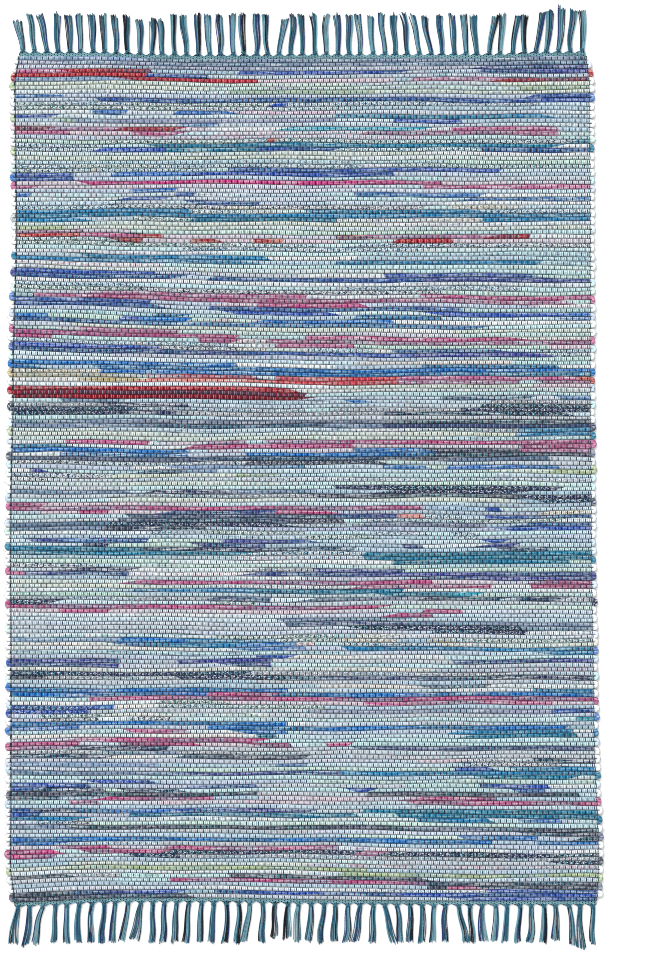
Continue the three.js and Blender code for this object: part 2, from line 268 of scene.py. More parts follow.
# The weaver's plan. Each line is a row and its coloured rags, by where each starts and ends in cm from the
# left selvedge, its dye and its finish, which is plain where none is given. All the rest is pale rag. A line
# that ends in a comma goes on in the next.
PLAN = """
0: 0 27 mist_blue streak, 27 60 blue_grey, 60 118 blue_grey streak
1: 0 28 lilac_grey streak, 28 96 blue_grey streak, 96 118 blue_grey
2: 20 60 lilac_grey streak, 60 96 indigo pale, 96 118 indigo streak
3: 1 10 rose streak, 10 28 red fleck, 46 80 royal streak, 96 118 indigo
4: 0 25 red fleck, 27 40 royal streak, 40 78 blue_grey pale
5: 1 22 mist_blue, 22 50 red fleck, 50 78 rose pale, 82 100 rose streak, 100 118 red fleck
6: 70 100 blue_grey pale
7: 0 40 lime pale, 104 118 lime
8: 44 74 lime, 104 118 lime pale
9: 1 10 blue streak, 10 106 blue pale, 106 118 royal
10: 1 17 blue pale, 17 50 royal, 53 108 royal, 108 118 royal streak
11: 1 8 green speckle, 8 24 teal speckle, 24 53 green speckle, 53 56 royal, 56 108 teal speckle
12: 1 34 green speckle, 34 70 grey speckle
13: 16 23 blue, 23 33 mist_blue pale, 33 45 blue, 66 112 mist_blue pale
14: 3 8 royal streak, 50 66 blue_grey pale, 66 110 teal_blue
15: 9 12 lime, 12 66 lilac_grey, 78 92 royal streak
16: 3 34 lilac_grey pale, 34 42 blue streak
17: 0 7 red fleck, 7 21 rose streak, 21 34 red fleck, 34 40 rose pale, 55 64 turquoise streak,
    64 84 turquoise streak, 90 112 rose streak
18: 3 11 rose, 11 22 rose pale, 24 34 rose streak, 42 72 rose pale, 72 112 rose
20: 19 48 green speckle, 48 52 teal speckle, 52 54 red, 54 92 green speckle, 92 112 navy speckle,
    115 118 teal
21: 1 18 navy speckle, 28 50 teal, 50 74 teal streak, 74 112 teal
22: 1 17 teal speckle, 17 31 royal, 31 50 teal streak, 50 66 royal, 66 96 teal speckle, 96 118 royal
23: 0 84 lime pale
24: 0 20 cream_green, 20 66 lime pale, 84 118 lime pale
26: 1 12 teal speckle, 12 28 green speckle, 28 72 teal speckle, 78 118 green speckle
27: 0 15 green speckle, 15 17 tan, 17 40 green speckle, 44 70 royal, 70 100 royal streak
28: 0 12 royal streak, 12 20 blue pale, 20 36 blue, 36 78 royal, 78 118 blue pale
29: 0 12 royal, 12 64 blue pale, 88 118 blue_grey pale
30: 0 14 rose pale, 14 88 magenta, 88 118 rose pale
31: 0 4 rose, 4 70 rose pale, 84 118 rose streak
32: 0 24 blue pale, 24 33 blue, 33 45 mist_blue pale
33: 0 3 blue, 33 37 royal, 46 62 blue_grey pale, 70 96 blue
34: 22 31 royal streak, 31 66 mist_blue pale, 92 118 blue streak
35: 22 31 blue_grey pale, 36 50 royal streak, 60 88 lilac_grey pale
36: 1 20 teal speckle, 20 43 navy speckle, 43 48 tan speckle, 48 84 navy speckle, 90 104 tan speckle
37: 0 36 teal_blue, 36 48 green speckle, 48 54 tan speckle, 60 96 teal_blue, 96 118 teal speckle
38: 0 76 teal_blue, 76 118 teal_blue streak
39: 2 14 teal_blue, 14 24 teal_blue pale, 24 33 green speckle, 36 66 teal, 96 118 teal_blue
40: 0 74 lime pale
41: 2 10 lime, 10 60 lime pale, 82 118 lime pale
42: 0 14 rose streak, 14 24 rose pale
43: 0 13 red, 13 25 rose streak, 25 30 red, 30 66 rose pale, 66 74 red, 74 98 rose streak,
    98 106 red fleck
44: 1 20 green speckle, 20 26 red fleck, 26 36 rose pale, 36 42 red, 42 49 rose pale, 49 55 red,
    55 66 rose pale, 78 90 red fleck, 90 118 rose pale
45: 1 62 green speckle, 70 118 navy speckle
46: 34 84 teal speckle
48: 0 14 teal_blue pale, 14 52 teal_blue, 70 104 teal_blue pale
49: 0 12 teal_blue, 12 50 teal_blue streak, 50 66 teal_blue pale, 66 108 teal_blue
51: 6 80 lime pale
52: 0 29 royal, 29 38 royal pale, 38 58 blue_grey pale, 76 108 royal streak
53: 0 20 royal, 20 34 royal streak, 34 40 royal pale, 40 84 royal, 84 118 indigo
55: 0 26 teal speckle, 66 104 teal speckle
56: 0 24 green speckle, 24 88 navy speckle
57: 4 16 rose pale, 16 60 rose streak, 84 116 magenta_rose streak, 116 118 rose
58: 4 16 rose streak, 16 78 magenta_rose, 78 114 rose streak
59: 1 28 royal streak, 28 42 blue pale, 42 50 rose pale, 50 72 magenta_rose, 72 108 blue pale
60: 0 30 royal, 30 40 blue pale, 40 74 royal, 74 92 royal streak
61: 0 26 blue pale, 44 66 royal, 86 112 royal, 112 118 blue
62: 29 35 bright_blue, 46 70 bright_blue pale, 70 88 bright_blue, 112 118 blue streak
63: 0 7 bright_blue, 22 26 royal streak, 26 36 bright_blue, 50 78 bright_blue streak
64: 1 22 royal, 22 50 blue streak, 50 64 blue streak, 64 96 blue
65: 0 12 mist_blue pale, 12 76 lime pale, 90 118 lime pale
66: 10 14 rose pale, 14 34 rose, 60 92 rose pale
67: 0 38 magenta_rose, 41 46 magenta_rose, 60 84 magenta_rose streak, 84 104 magenta_rose
68: 0 8 magenta_rose, 38 46 magenta_rose, 52 110 rose streak, 110 118 magenta_rose
69: 3 10 teal speckle, 16 24 teal speckle, 24 27 tan speckle, 27 44 teal speckle, 54 70 rose,
    110 118 rose pale
70: 2 30 royal streak, 30 46 navy speckle, 46 52 tan speckle, 60 74 teal speckle, 78 100 royal streak,
    108 118 teal speckle
71: 0 48 indigo, 48 60 royal, 60 82 royal streak, 82 110 indigo, 110 118 teal speckle
72: 20 48 indigo pale, 48 60 royal pale, 60 96 royal pale
74: 0 24 bright_blue, 24 46 bright_blue streak, 66 84 bright_blue pale, 84 112 bright_blue
75: 0 5 bright_blue, 5 17 bright_blue pale, 17 50 bright_blue streak, 50 81 bright_blue,
    81 97 bright_blue, 97 118 bright_blue streak
76: 0 16 tan speckle, 18 56 bright_blue streak, 56 81 bright_blue, 81 98 bright_blue streak,
    98 118 teal_blue streak
77: 1 28 tan, 28 33 salmon streak, 33 50 salmon_red, 54 79 salmon_red, 79 116 rose streak, 116 118 red
78: 14 26 tan streak, 26 50 salmon streak, 52 79 salmon_red, 79 104 rose streak, 108 118 rose
79: 66 106 cream_green, 107 118 rose pale
80: 0 58 crimson
81: 0 60 crimson dark
82: 0 28 crimson dark, 28 57 crimson_black dark, 60 88 blue pale, 88 106 navy_grey streak,
    112 118 blue streak
83: 10 22 blue_grey, 69 73 bright_blue streak, 98 118 navy washed
84: 0 18 navy washed, 18 36 navy streak, 80 96 blue_grey pale, 96 118 navy print
85: 0 26 navy print, 26 36 navy washed, 36 60 navy washed, 66 92 navy washed, 92 118 navy print
86: 0 24 navy print, 24 36 navy streak, 36 76 navy washed, 76 100 navy streak, 100 114 navy print
87: 40 76 lilac_grey pale, 76 118 grey pale
88: 0 26 blue_grey, 26 60 grey streak, 60 78 grey, 78 118 charcoal streak
89: 0 28 blue_grey streak, 28 64 charcoal_blue, 64 76 blue_grey, 76 118 navy_grey dark
90: 0 18 lime pale, 84 104 navy washed, 104 118 teal_blue
91: 0 64 lime pale, 64 94 lime pale, 103 118 teal_blue streak
92: 0 90 cream_green
93: 11 18 rose streak, 18 28 magenta_rose, 32 40 rose pale, 40 48 rose streak, 52 66 rose streak,
    66 118 magenta_rose
94: 0 12 teal_blue streak, 36 48 magenta_rose, 48 54 rose streak, 54 70 magenta_rose, 70 104 rose pale,
    104 118 magenta_rose
95: 0 36 bright_blue, 40 47 rose pale, 54 70 rose pale, 70 85 bright_blue streak, 85 104 charcoal,
    104 118 rose streak
96: 10 34 blue streak, 36 48 blue pale, 48 85 bright_blue, 85 118 charcoal
97: 0 36 grey dark, 36 76 charcoal_blue, 76 90 charcoal streak, 90 110 blue_grey dark,
    110 118 blue_grey pale
98: 0 34 charcoal speckle, 34 48 grey speckle, 48 76 charcoal print, 84 118 blue_grey pale
99: 0 25 blue pale, 33 54 mist_blue, 56 60 blue, 76 85 bright_blue streak, 89 112 blue
100: 4 7 indigo, 26 36 navy_grey streak, 36 42 mist_blue, 110 118 lime
101: 0 20 navy speckle, 33 46 lime pale, 46 54 lime
102: 0 8 navy speckle
103: 0 60 cream_green
104: 0 24 blue_grey pale, 66 112 navy print
105: 0 24 blue_grey, 28 46 navy streak, 46 62 blue_grey, 76 104 navy print
106: 0 24 blue_grey pale, 24 62 navy washed, 62 104 charcoal streak, 104 118 navy print
107: 20 104 lime pale, 108 118 navy print
108: 0 7 magenta_rose, 7 40 rose pale
109: 0 7 magenta_rose, 7 14 rose streak, 14 84 magenta_rose, 97 100 royal
110: 6 14 rose pale, 14 20 magenta_rose, 20 31 rose pale, 31 52 indigo, 54 66 magenta_rose,
    108 118 tan speckle
111: 24 58 charcoal_blue, 58 66 charcoal streak, 66 79 indigo, 79 84 salmon streak, 84 92 teal speckle,
    97 118 royal streak
112: 0 22 blue_grey pale, 22 58 charcoal_blue, 58 68 charcoal print, 72 90 teal speckle,
    90 112 green speckle
113: 0 20 blue_grey dark, 20 57 navy print, 57 72 navy washed, 72 97 grey, 104 118 royal streak
114: 0 19 blue_grey, 19 24 charcoal, 25 40 navy streak, 100 118 royal
115: 28 34 teal speckle, 40 60 green speckle, 74 85 teal speckle, 90 95 teal speckle
116: 60 74 green speckle, 91 95 teal speckle, 112 118 blue pale
117: 4 11 indigo, 11 16 blue streak, 18 28 royal streak, 43 57 indigo, 57 62 royal streak, 97 101 royal
118: 15 20 navy streak, 38 52 indigo, 80 84 indigo streak, 96 103 indigo streak
119: 0 27 teal, 27 31 charcoal, 31 48 navy streak, 50 70 navy streak, 100 110 navy streak
120: 0 12 teal streak, 12 48 teal, 48 72 teal speckle, 72 118 teal
121: 0 46 teal pale, 72 75 teal, 78 118 teal
122: 78 88 teal streak, 88 114 teal
123: 0 17 navy speckle
124: 0 10 blue_grey pale, 10 25 navy streak, 50 62 navy washed, 62 80 indigo streak
125: 0 3 rose, 3 24 indigo streak, 48 62 indigo streak, 62 78 indigo streak, 78 118 indigo
126: 24 48 blue_grey pale, 60 84 indigo pale, 84 118 indigo streak
127: 0 24 lime pale, 24 70 magenta_rose, 70 86 magenta_rose, 86 106 rose pale, 106 118 magenta_rose
128: 0 24 lime pale, 24 40 cream_green, 70 84 rose streak, 86 98 magenta_rose streak, 106 118 magenta_rose
129: 16 25 teal pale, 25 48 teal_blue streak, 50 80 teal
130: 25 48 teal_blue pale, 54 76 teal pale, 76 90 teal, 90 95 turquoise
131: 0 40 navy washed, 40 53 navy_grey streak, 60 84 grey streak, 84 98 charcoal streak,
    98 112 navy streak, 112 118 navy washed
132: 0 9 navy print, 42 50 green speckle, 54 118 blue_grey pale
133: 0 76 magenta_rose
134: 0 10 rose pale, 10 20 rose, 20 77 rose pale, 84 92 magenta_rose
135: 77 86 magenta_rose
136: 55 80 blue_grey
137: 0 56 lilac_grey pale, 56 80 navy_grey streak, 80 118 blue_grey
138: 0 60 blue_grey pale, 70 104 navy print, 104 118 blue_grey
139: 0 34 blue_grey pale, 86 105 navy print
140: 41 52 green speckle, 52 66 green speckle, 70 78 tan speckle
141: 0 22 mist_blue, 22 36 bright_blue, 36 54 teal_blue streak, 54 68 green speckle, 68 79 tan speckle,
    85 88 tan streak, 90 118 green speckle
142: 22 28 blue streak, 28 47 teal_blue, 47 57 bright_blue streak, 58 62 salmon speckle,
    67 84 teal speckle, 88 92 tan speckle, 98 118 lime pale
143: 46 57 blue streak, 60 68 blue pale, 68 118 teal_blue
144: 68 98 blue pale, 108 118 teal_blue streak
145: 0 20 indigo pale, 20 50 blue pale, 50 57 royal
146: 0 22 indigo, 22 34 indigo pale, 34 53 indigo, 53 90 blue_grey pale, 90 108 indigo streak,
    108 116 indigo
147: 0 22 indigo streak, 44 53 indigo streak, 92 116 blue_grey pale
149: 1 48 navy print, 48 100 navy washed, 100 118 grey pale
150: 0 7 charcoal, 7 34 navy washed, 34 56 navy print, 56 96 navy_grey streak, 96 118 navy streak
151: 0 40 blue_grey pale, 50 80 grey pale, 96 118 grey pale
152: 84 97 grey print
153: 0 14 bright_blue, 14 20 blue streak, 20 46 bright_blue, 46 56 bright_blue streak, 106 118 teal_blue
154: 0 11 bright_blue, 11 40 blue streak, 40 51 magenta_rose, 54 78 bright_blue, 78 97 blue streak,
    97 118 bright_blue
155: 16 22 rose streak, 22 40 rose, 40 56 magenta_rose, 58 118 magenta_rose
156: 30 44 green speckle, 44 72 rose pale, 72 110 rose streak, 110 118 rose pale
157: 0 18 royal print, 18 21 blue, 30 64 green speckle
158: 0 16 royal print, 16 60 blue_grey pale, 60 110 lilac_grey, 110 118 royal
159: 6 19 green speckle, 52 100 blue_grey pale, 112 118 blue pale
160: 7 18 charcoal speckle, 24 33 charcoal speckle, 115 118 turquoise
161: 0 56 bright_blue, 60 84 mist_blue pale
162: 0 14 blue streak, 14 40 blue pale, 40 56 bright_blue, 56 113 bright_blue
163: 24 36 rose streak, 46 56 bright_blue streak, 60 90 blue pale, 90 114 teal_blue
164: 50 54 teal, 92 115 teal
165: 0 12 rose pale, 12 20 rose streak, 20 51 magenta_rose
166: 0 14 magenta_rose, 22 38 magenta_rose, 38 50 rose pale, 50 57 magenta_rose, 64 69 magenta_rose
167: 0 12 rose streak, 12 32 navy streak, 32 70 grey pale, 70 118 navy_grey
168: 0 20 navy washed, 20 34 blue_grey, 34 60 navy washed, 60 118 blue_grey pale
169: 0 20 navy streak, 34 60 charcoal streak, 60 118 grey pale
170: 82 92 rose pale, 92 106 grey speckle, 106 118 navy streak
171: 1 30 mist_blue, 54 60 blue streak, 90 112 navy speckle
172: 0 32 mist_blue pale, 90 98 royal, 102 118 teal_blue
173: 0 32 blue_grey, 32 64 indigo streak, 67 80 teal_blue, 80 118 teal_blue
174: 66 78 teal_blue pale, 95 114 teal
175: 16 29 royal print, 29 60 blue pale
176: 0 16 royal streak, 16 36 royal pale, 36 50 royal streak, 50 80 blue_grey pale, 95 109 royal streak
177: 0 5 royal, 5 19 navy streak, 23 35 navy streak, 69 73 royal, 102 108 royal streak
178: 0 33 charcoal, 33 50 charcoal streak, 50 72 grey pale, 72 84 charcoal, 84 115 charcoal
179: 0 10 charcoal streak, 18 32 magenta_rose, 35 41 rose, 50 80 rose pale, 80 98 magenta_rose streak
180: 12 18 rose streak, 30 66 rose pale, 81 118 magenta_rose
181: 43 46 blue pale, 50 54 blue pale
182: 0 5 royal, 5 14 navy streak, 14 34 blue streak, 34 44 royal streak, 46 61 indigo streak,
    61 71 blue_grey pale, 71 118 teal
183: 0 6 royal, 6 24 indigo pale, 24 70 teal streak, 78 118 teal
184: 0 14 teal_blue, 14 26 blue pale, 82 97 teal_blue, 103 111 blue streak
185: 5 16 navy speckle
186: 0 12 blue_grey, 12 30 charcoal streak, 30 80 charcoal, 80 104 grey, 104 118 charcoal
187: 0 12 blue_grey pale, 26 60 charcoal pale, 104 118 charcoal streak
188: 91 95 blue streak, 95 106 bright_blue streak, 114 118 charcoal
189: 0 8 blue streak, 8 97 bright_blue, 97 106 bright_blue pale, 106 118 bright_blue streak
190: 2 10 bright_blue streak, 30 66 charcoal pale, 97 118 blue pale
191: 0 10 rose pale, 10 17 magenta_rose, 20 31 rose pale, 31 39 magenta_rose, 39 66 rose streak
192: 0 10 magenta, 15 31 magenta_rose, 31 70 navy print, 70 75 rose, 75 118 navy print
193: 0 9 magenta, 24 34 navy print, 34 75 navy_grey washed, 75 118 navy washed
194: 74 110 blue_grey pale, 110 118 navy print
195: 12 60 lime pale
196: 0 12 lime pale, 12 72 lime
197: 66 118 lime
198: 0 12 charcoal streak, 12 22 navy washed, 44 84 charcoal streak
199: 0 20 grey pale, 32 84 magenta_rose, 84 118 charcoal streak
200: 84 88 charcoal, 88 96 rose, 96 118 charcoal streak
201: 0 32 lilac_grey pale, 96 118 royal streak
202: 1 12 charcoal, 12 24 indigo, 24 34 royal streak, 41 52 royal, 52 78 royal streak, 78 118 royal
203: 1 36 charcoal, 36 90 grey pale, 90 118 royal streak
"""

# Turns at the selvedges that show a coloured rag: the upper row of the turn, the dye and the finish.
LEFT_PLAN = """
4 red, 6 lime, 14 lime, 16 rose pale, 22 lime, 28 blue, 30 rose, 48 teal, 52 indigo, 58 blue,
62 blue pale, 66 rose, 70 royal, 74 bright_blue, 76 tan, 80 crimson, 84 navy print, 90 lime,
96 charcoal streak, 108 rose, 118 teal, 124 rose, 132 magenta_rose, 146 royal, 152 blue,
158 royal print, 162 blue, 166 magenta_rose, 178 charcoal, 192 magenta_rose, 196 lime, 202 charcoal
"""
RIGHT_PLAN = """
3 red, 9 blue, 21 teal, 57 rose, 61 blue pale, 67 rose, 75 bright_blue, 77 red, 89 navy, 91 teal,
93 rose, 95 grey streak, 99 lime, 107 navy, 121 teal, 125 indigo, 131 navy print, 141 tan pale,
143 blue, 155 magenta_rose, 159 blue, 163 teal_blue, 173 teal, 179 rose, 183 teal, 187 grey,
193 charcoal streak, 197 lime, 199 grey streak
"""


def linear(code):
    """A colour given as sRGB hex, such as #C2122F, as linear red, green and blue."""
    value = np.array([int(code[i:i + 2], 16) for i in (1, 3, 5)]) / 255
    return np.where(value <= 0.04045, value / 12.92, ((value + 0.055) / 1.055) ** 2.4)


def read_plan(text):
    """The plan as rows, each with its coloured rags from left to right: start, end, dye and finish."""
    plan = {}
    for line in text.replace(",\n", ",").strip().splitlines():
        row, rags = line.split(":")
        plan[int(row)] = []
        for rag in rags.split(","):
            start, end, dye, *finish = rag.split()
            plan[int(row)].append((float(start), float(end), dye, *(finish or ["plain"])))
    return plan


def read_turns(text):
    """The coloured turns of one selvedge, by the upper row of each: dye and finish."""
    turns = {}
    for turn in text.split(","):
        row, dye, *finish = turn.split()
        turns[int(row)] = (dye, *(finish or ["plain"]))
    return turns


RAGS = read_plan(PLAN)
LEFT_TURNS = read_turns(LEFT_PLAN)
RIGHT_TURNS = read_turns(RIGHT_PLAN)


# ------------------------------------------------------------------------------------ settings


class RagRugWeave(bpy.types.PropertyGroup):
    rag_thickness: bpy.props.FloatProperty(
        name="Rag Thickness", description="Height of a beaten rag strip", default=6.0 * MM, unit="LENGTH")
    turn_reach: bpy.props.FloatProperty(
        name="Turn Reach", description="How far a rag's turn stands out past the selvedge warp",
        default=8.0 * MM, unit="LENGTH")
    seed: bpy.props.IntProperty(
        name="Seed", description="Picks the pale rags and the unevenness of the weave", default=19, min=0)


class RagRugYarn(bpy.types.PropertyGroup):
    warp_width: bpy.props.FloatProperty(
        name="Warp Width", description="Width of a warp yarn on the cloth", default=1.35 * MM, unit="LENGTH")
    fringe_yarn: bpy.props.FloatProperty(
        name="Fringe Yarn", description="Diameter of a loose warp yarn in the fringe",
        default=1.75 * MM, unit="LENGTH")
    black: bpy.props.FloatVectorProperty(
        name="Black", description="Black warp yarn", subtype="COLOR", default=linear("#141C2E"))
    teal: bpy.props.FloatVectorProperty(
        name="Teal", description="Teal warp yarn", subtype="COLOR", default=linear("#4298AA"))
    navy: bpy.props.FloatVectorProperty(
        name="Navy", description="Navy warp yarn", subtype="COLOR", default=linear("#1A2A50"))
    sage: bpy.props.FloatVectorProperty(
        name="Sage", description="Sage green warp yarn", subtype="COLOR", default=linear("#A2C4CA"))


class RagRugStudio(bpy.types.PropertyGroup):
    floor_size: bpy.props.FloatProperty(
        name="Floor Size", description="Width of the studio floor", default=14.0, unit="LENGTH")
    camera_height: bpy.props.FloatProperty(
        name="Camera Height", description="Height of the camera over the floor", default=4.0, unit="LENGTH")


# ------------------------------------------------------------------------------------ the cloth's map


def mesh_points(node):
    """The vertices of one of the frame's nodes."""
    vertices = bpy.data.objects[node].data.vertices
    points = np.empty(3 * len(vertices))
    vertices.foreach_get("co", points)
    return points.reshape(-1, 3)


def selvedge_line(side):
    """Y and X of the outermost warp on one side, head last, so that Y rises."""
    points = mesh_points("woven_body")
    tips = points[(np.abs(points[:, 2] - LOOP_TIP_HEIGHT) < 0.05 * MM) & (points[:, 0] * side > 0)]
    tips = tips[np.argsort(tips[:, 1])]
    return tips[:, 1], tips[:, 0] - side * LOOP_REACH


LEFT_LINE = selvedge_line(-1)
RIGHT_LINE = selvedge_line(1)


def selvedge_x(side, y):
    """X of the selvedge warp on the left, side -1, or on the right, side 1."""
    return np.interp(y, *(LEFT_LINE if side < 0 else RIGHT_LINE))


def place_across(share, y):
    """X of a place given as its share of the way from the left to the right selvedge warp."""
    left = selvedge_x(-1, y)
    return left + (selvedge_x(1, y) - left) * share


PHASES = np.random.default_rng(5)
SEAM_PHASES = PHASES.uniform(0, 2 * np.pi, (ROWS + 1, len(SEAM_WAVES)))
SWAY_PHASES = PHASES.uniform(0, 2 * np.pi, len(SWAY_WAVES))
BULK_PHASES = PHASES.uniform(0, 2 * np.pi, (ROWS, len(SEAM_WAVES)))


def end_bow(outward, share):
    """Shift in Y of the head edge, outward 1, or of the foot edge, outward -1."""
    across, depth = HEAD_BOW if outward > 0 else FOOT_BOW
    return outward * np.interp(share * CLOTH_WIDTH / CM, across, depth) * MM


def seam_y(seam, share):
    """Y of a seam between two rows, at a share of the way across."""
    seam, share = np.broadcast_arrays(np.asarray(seam), np.asarray(share, dtype=float))
    x = share[..., None] * CLOTH_WIDTH
    wander = np.sin(x * SEAM_WAVES + SEAM_PHASES[seam]) @ SEAM_WANDER
    sway = np.sin(x * SWAY_WAVES + seam[..., None] * SWAY_ROWS + SWAY_PHASES).mean(-1) * SWAY
    dip = 0
    for centre, reach, across, depth in DIPS:
        swell = 0.5 + 0.5 * np.cos(np.pi * np.clip((seam - centre) / reach, -1, 1))
        dip = dip + swell * np.interp(share * CLOTH_WIDTH / CM, across, depth) * MM
    held = np.clip(np.minimum(seam, ROWS - seam) / EDGE_ROWS, 0, 1)
    bow = end_bow(1, share) * np.clip(1 - seam / BOW_ROWS, 0, 1)
    bow = bow + end_bow(-1, share) * np.clip(1 - (ROWS - seam) / BOW_ROWS, 0, 1)
    return CLOTH_HIGH.y - seam * ROW_PITCH + held * (wander + sway - dip) + bow


def rag_bulk(row, share):
    """How full the rag is at a place, about 1."""
    row, share = np.broadcast_arrays(np.asarray(row), np.asarray(share, dtype=float))
    waves = np.sin(share[..., None] * CLOTH_WIDTH * SEAM_WAVES * BULK_RIPPLE + BULK_PHASES[row])
    return BULK + BULK_SWING * waves.mean(-1)


def tassels(node, outward):
    """X of each knot and the tips of its locks, from left to right, on one of the fringes."""
    points = mesh_points(node)
    heading = min(points[:, 1] * outward)
    out = points[:, 1] * outward - heading
    knots = np.unique(np.round(points[np.abs(points[:, 2] - KNOT_HEIGHT) < 0.01 * MM], 6), axis=0)
    tips = np.unique(np.round(
        points[(np.abs(points[:, 2] - LOCK_TIP_HEIGHT) < 0.01 * MM) & (out > 5 * HEADING_DEPTH)], 6), axis=0)
    knots = knots[np.argsort(knots[:, 0])].reshape(-1, 2, 3).mean(1)
    tips = tips[np.argsort(tips[:, 0])].reshape(len(knots), LOCKS, 3)
    return knots, tips


# ------------------------------------------------------------------------------------ mesh helpers


def mesh_piece(name, points, faces, uv=None, attributes=None):
    """A new mesh object from arrays: faces is a list of arrays, one for each number of corners."""
    corners = np.concatenate([f.ravel() for f in faces]).astype(np.int32)
    sizes = np.concatenate([np.full(len(f), f.shape[1]) for f in faces])
    mesh = bpy.data.meshes.new(name)
    mesh.vertices.add(len(points))
    mesh.vertices.foreach_set("co", np.ascontiguousarray(points, dtype=np.float32).ravel())
    mesh.loops.add(len(corners))
    mesh.loops.foreach_set("vertex_index", corners)
    mesh.polygons.add(len(sizes))
    mesh.polygons.foreach_set("loop_start", np.concatenate([[0], np.cumsum(sizes)[:-1]]).astype(np.int32))
    mesh.update(calc_edges=True)
    mesh.polygons.foreach_set("use_smooth", np.ones(len(sizes), dtype=bool))
    for layer, values in (uv or {}).items():
        mesh.uv_layers.new(name=layer).uv.foreach_set("vector", values.astype(np.float32).ravel())
    for layer, (kind, field, values) in (attributes or {}).items():
        made = mesh.attributes.new(layer, kind, "POINT")
        made.data.foreach_set(field, values.astype(np.float32).ravel())
    piece = bpy.data.objects.new(name, mesh)
    bpy.context.collection.objects.link(piece)
    return piece


def grid_faces(strips, stations, around, closed):
    """Corner numbers and their ring and place for quads over strips of rings, each ring around points."""
    places = around if closed else around - 1
    strip, ring, place = np.meshgrid(
        np.arange(strips), np.arange(stations - 1), np.arange(places), indexing="ij")
    strip, ring, place = strip.ravel(), ring.ravel(), place.ravel()
    rings = np.stack([ring, ring + 1, ring + 1, ring], 1)
    spots = np.stack([place, place, place + 1, place + 1], 1)
    corners = (strip[:, None] * stations + rings) * around + spots % around
    return corners, strip[:, None].repeat(4, 1), rings, spots / places


def tubes(paths, radius):
    """Points, faces, UV and tube numbers of closed tubes along paths, an array of path, station and place."""
    count, stations = paths.shape[:2]
    radius = np.broadcast_to(np.asarray(radius, dtype=float), (count, stations))
    ahead = np.gradient(paths, axis=1)
    ahead /= np.linalg.norm(ahead, axis=-1, keepdims=True)
    across = np.cross(ahead, (0, 0, 1))
    across /= np.linalg.norm(across, axis=-1, keepdims=True)
    above = np.cross(across, ahead)
    turn = (np.arange(YARN_SIDES) + 0.5) * 2 * np.pi / YARN_SIDES
    ring = across[:, :, None] * np.cos(turn)[:, None] + above[:, :, None] * np.sin(turn)[:, None]
    points = paths[:, :, None] + radius[:, :, None, None] * ring
    quads, strip, rings, spots = grid_faces(count, stations, YARN_SIDES, True)
    first = np.arange(count)[:, None] * stations * YARN_SIDES + np.arange(YARN_SIDES)
    caps = [first[:, ::-1], first + (stations - 1) * YARN_SIDES]
    run = np.concatenate([np.zeros((count, 1)), np.cumsum(
        np.linalg.norm(np.diff(paths, axis=1), axis=-1), axis=1)], axis=1)
    lay = np.stack([spots, run[strip, rings]], -1).reshape(-1, 2)
    lay = np.concatenate([lay, np.zeros((2 * count * YARN_SIDES, 2))])
    return points.reshape(-1, 3), [quads[:, ::-1], *[c[:, ::-1] for c in caps]], lay, strip[:, 0]


# ------------------------------------------------------------------------------------ materials


def node(tree, kind, inputs=None, **settings):
    """Adds a shader node with its settings, values and links, and returns it."""
    made = tree.nodes.new(kind)
    for name, value in settings.items():
        setattr(made, name, value)
    for socket, value in (inputs or {}).items():
        if isinstance(value, bpy.types.NodeSocket):
            tree.links.new(value, made.inputs[socket])
        else:
            made.inputs[socket].default_value = value
    return made


def blank_material(name):
    """A material with only its shader and output, its tree and its shader."""
    made = bpy.data.materials.new(name)
    made.use_nodes = True
    tree = made.node_tree
    tree.nodes.clear()
    shader = node(tree, "ShaderNodeBsdfPrincipled")
    node(tree, "ShaderNodeOutputMaterial", {"Surface": shader.outputs[0]})
    return made, tree, shader


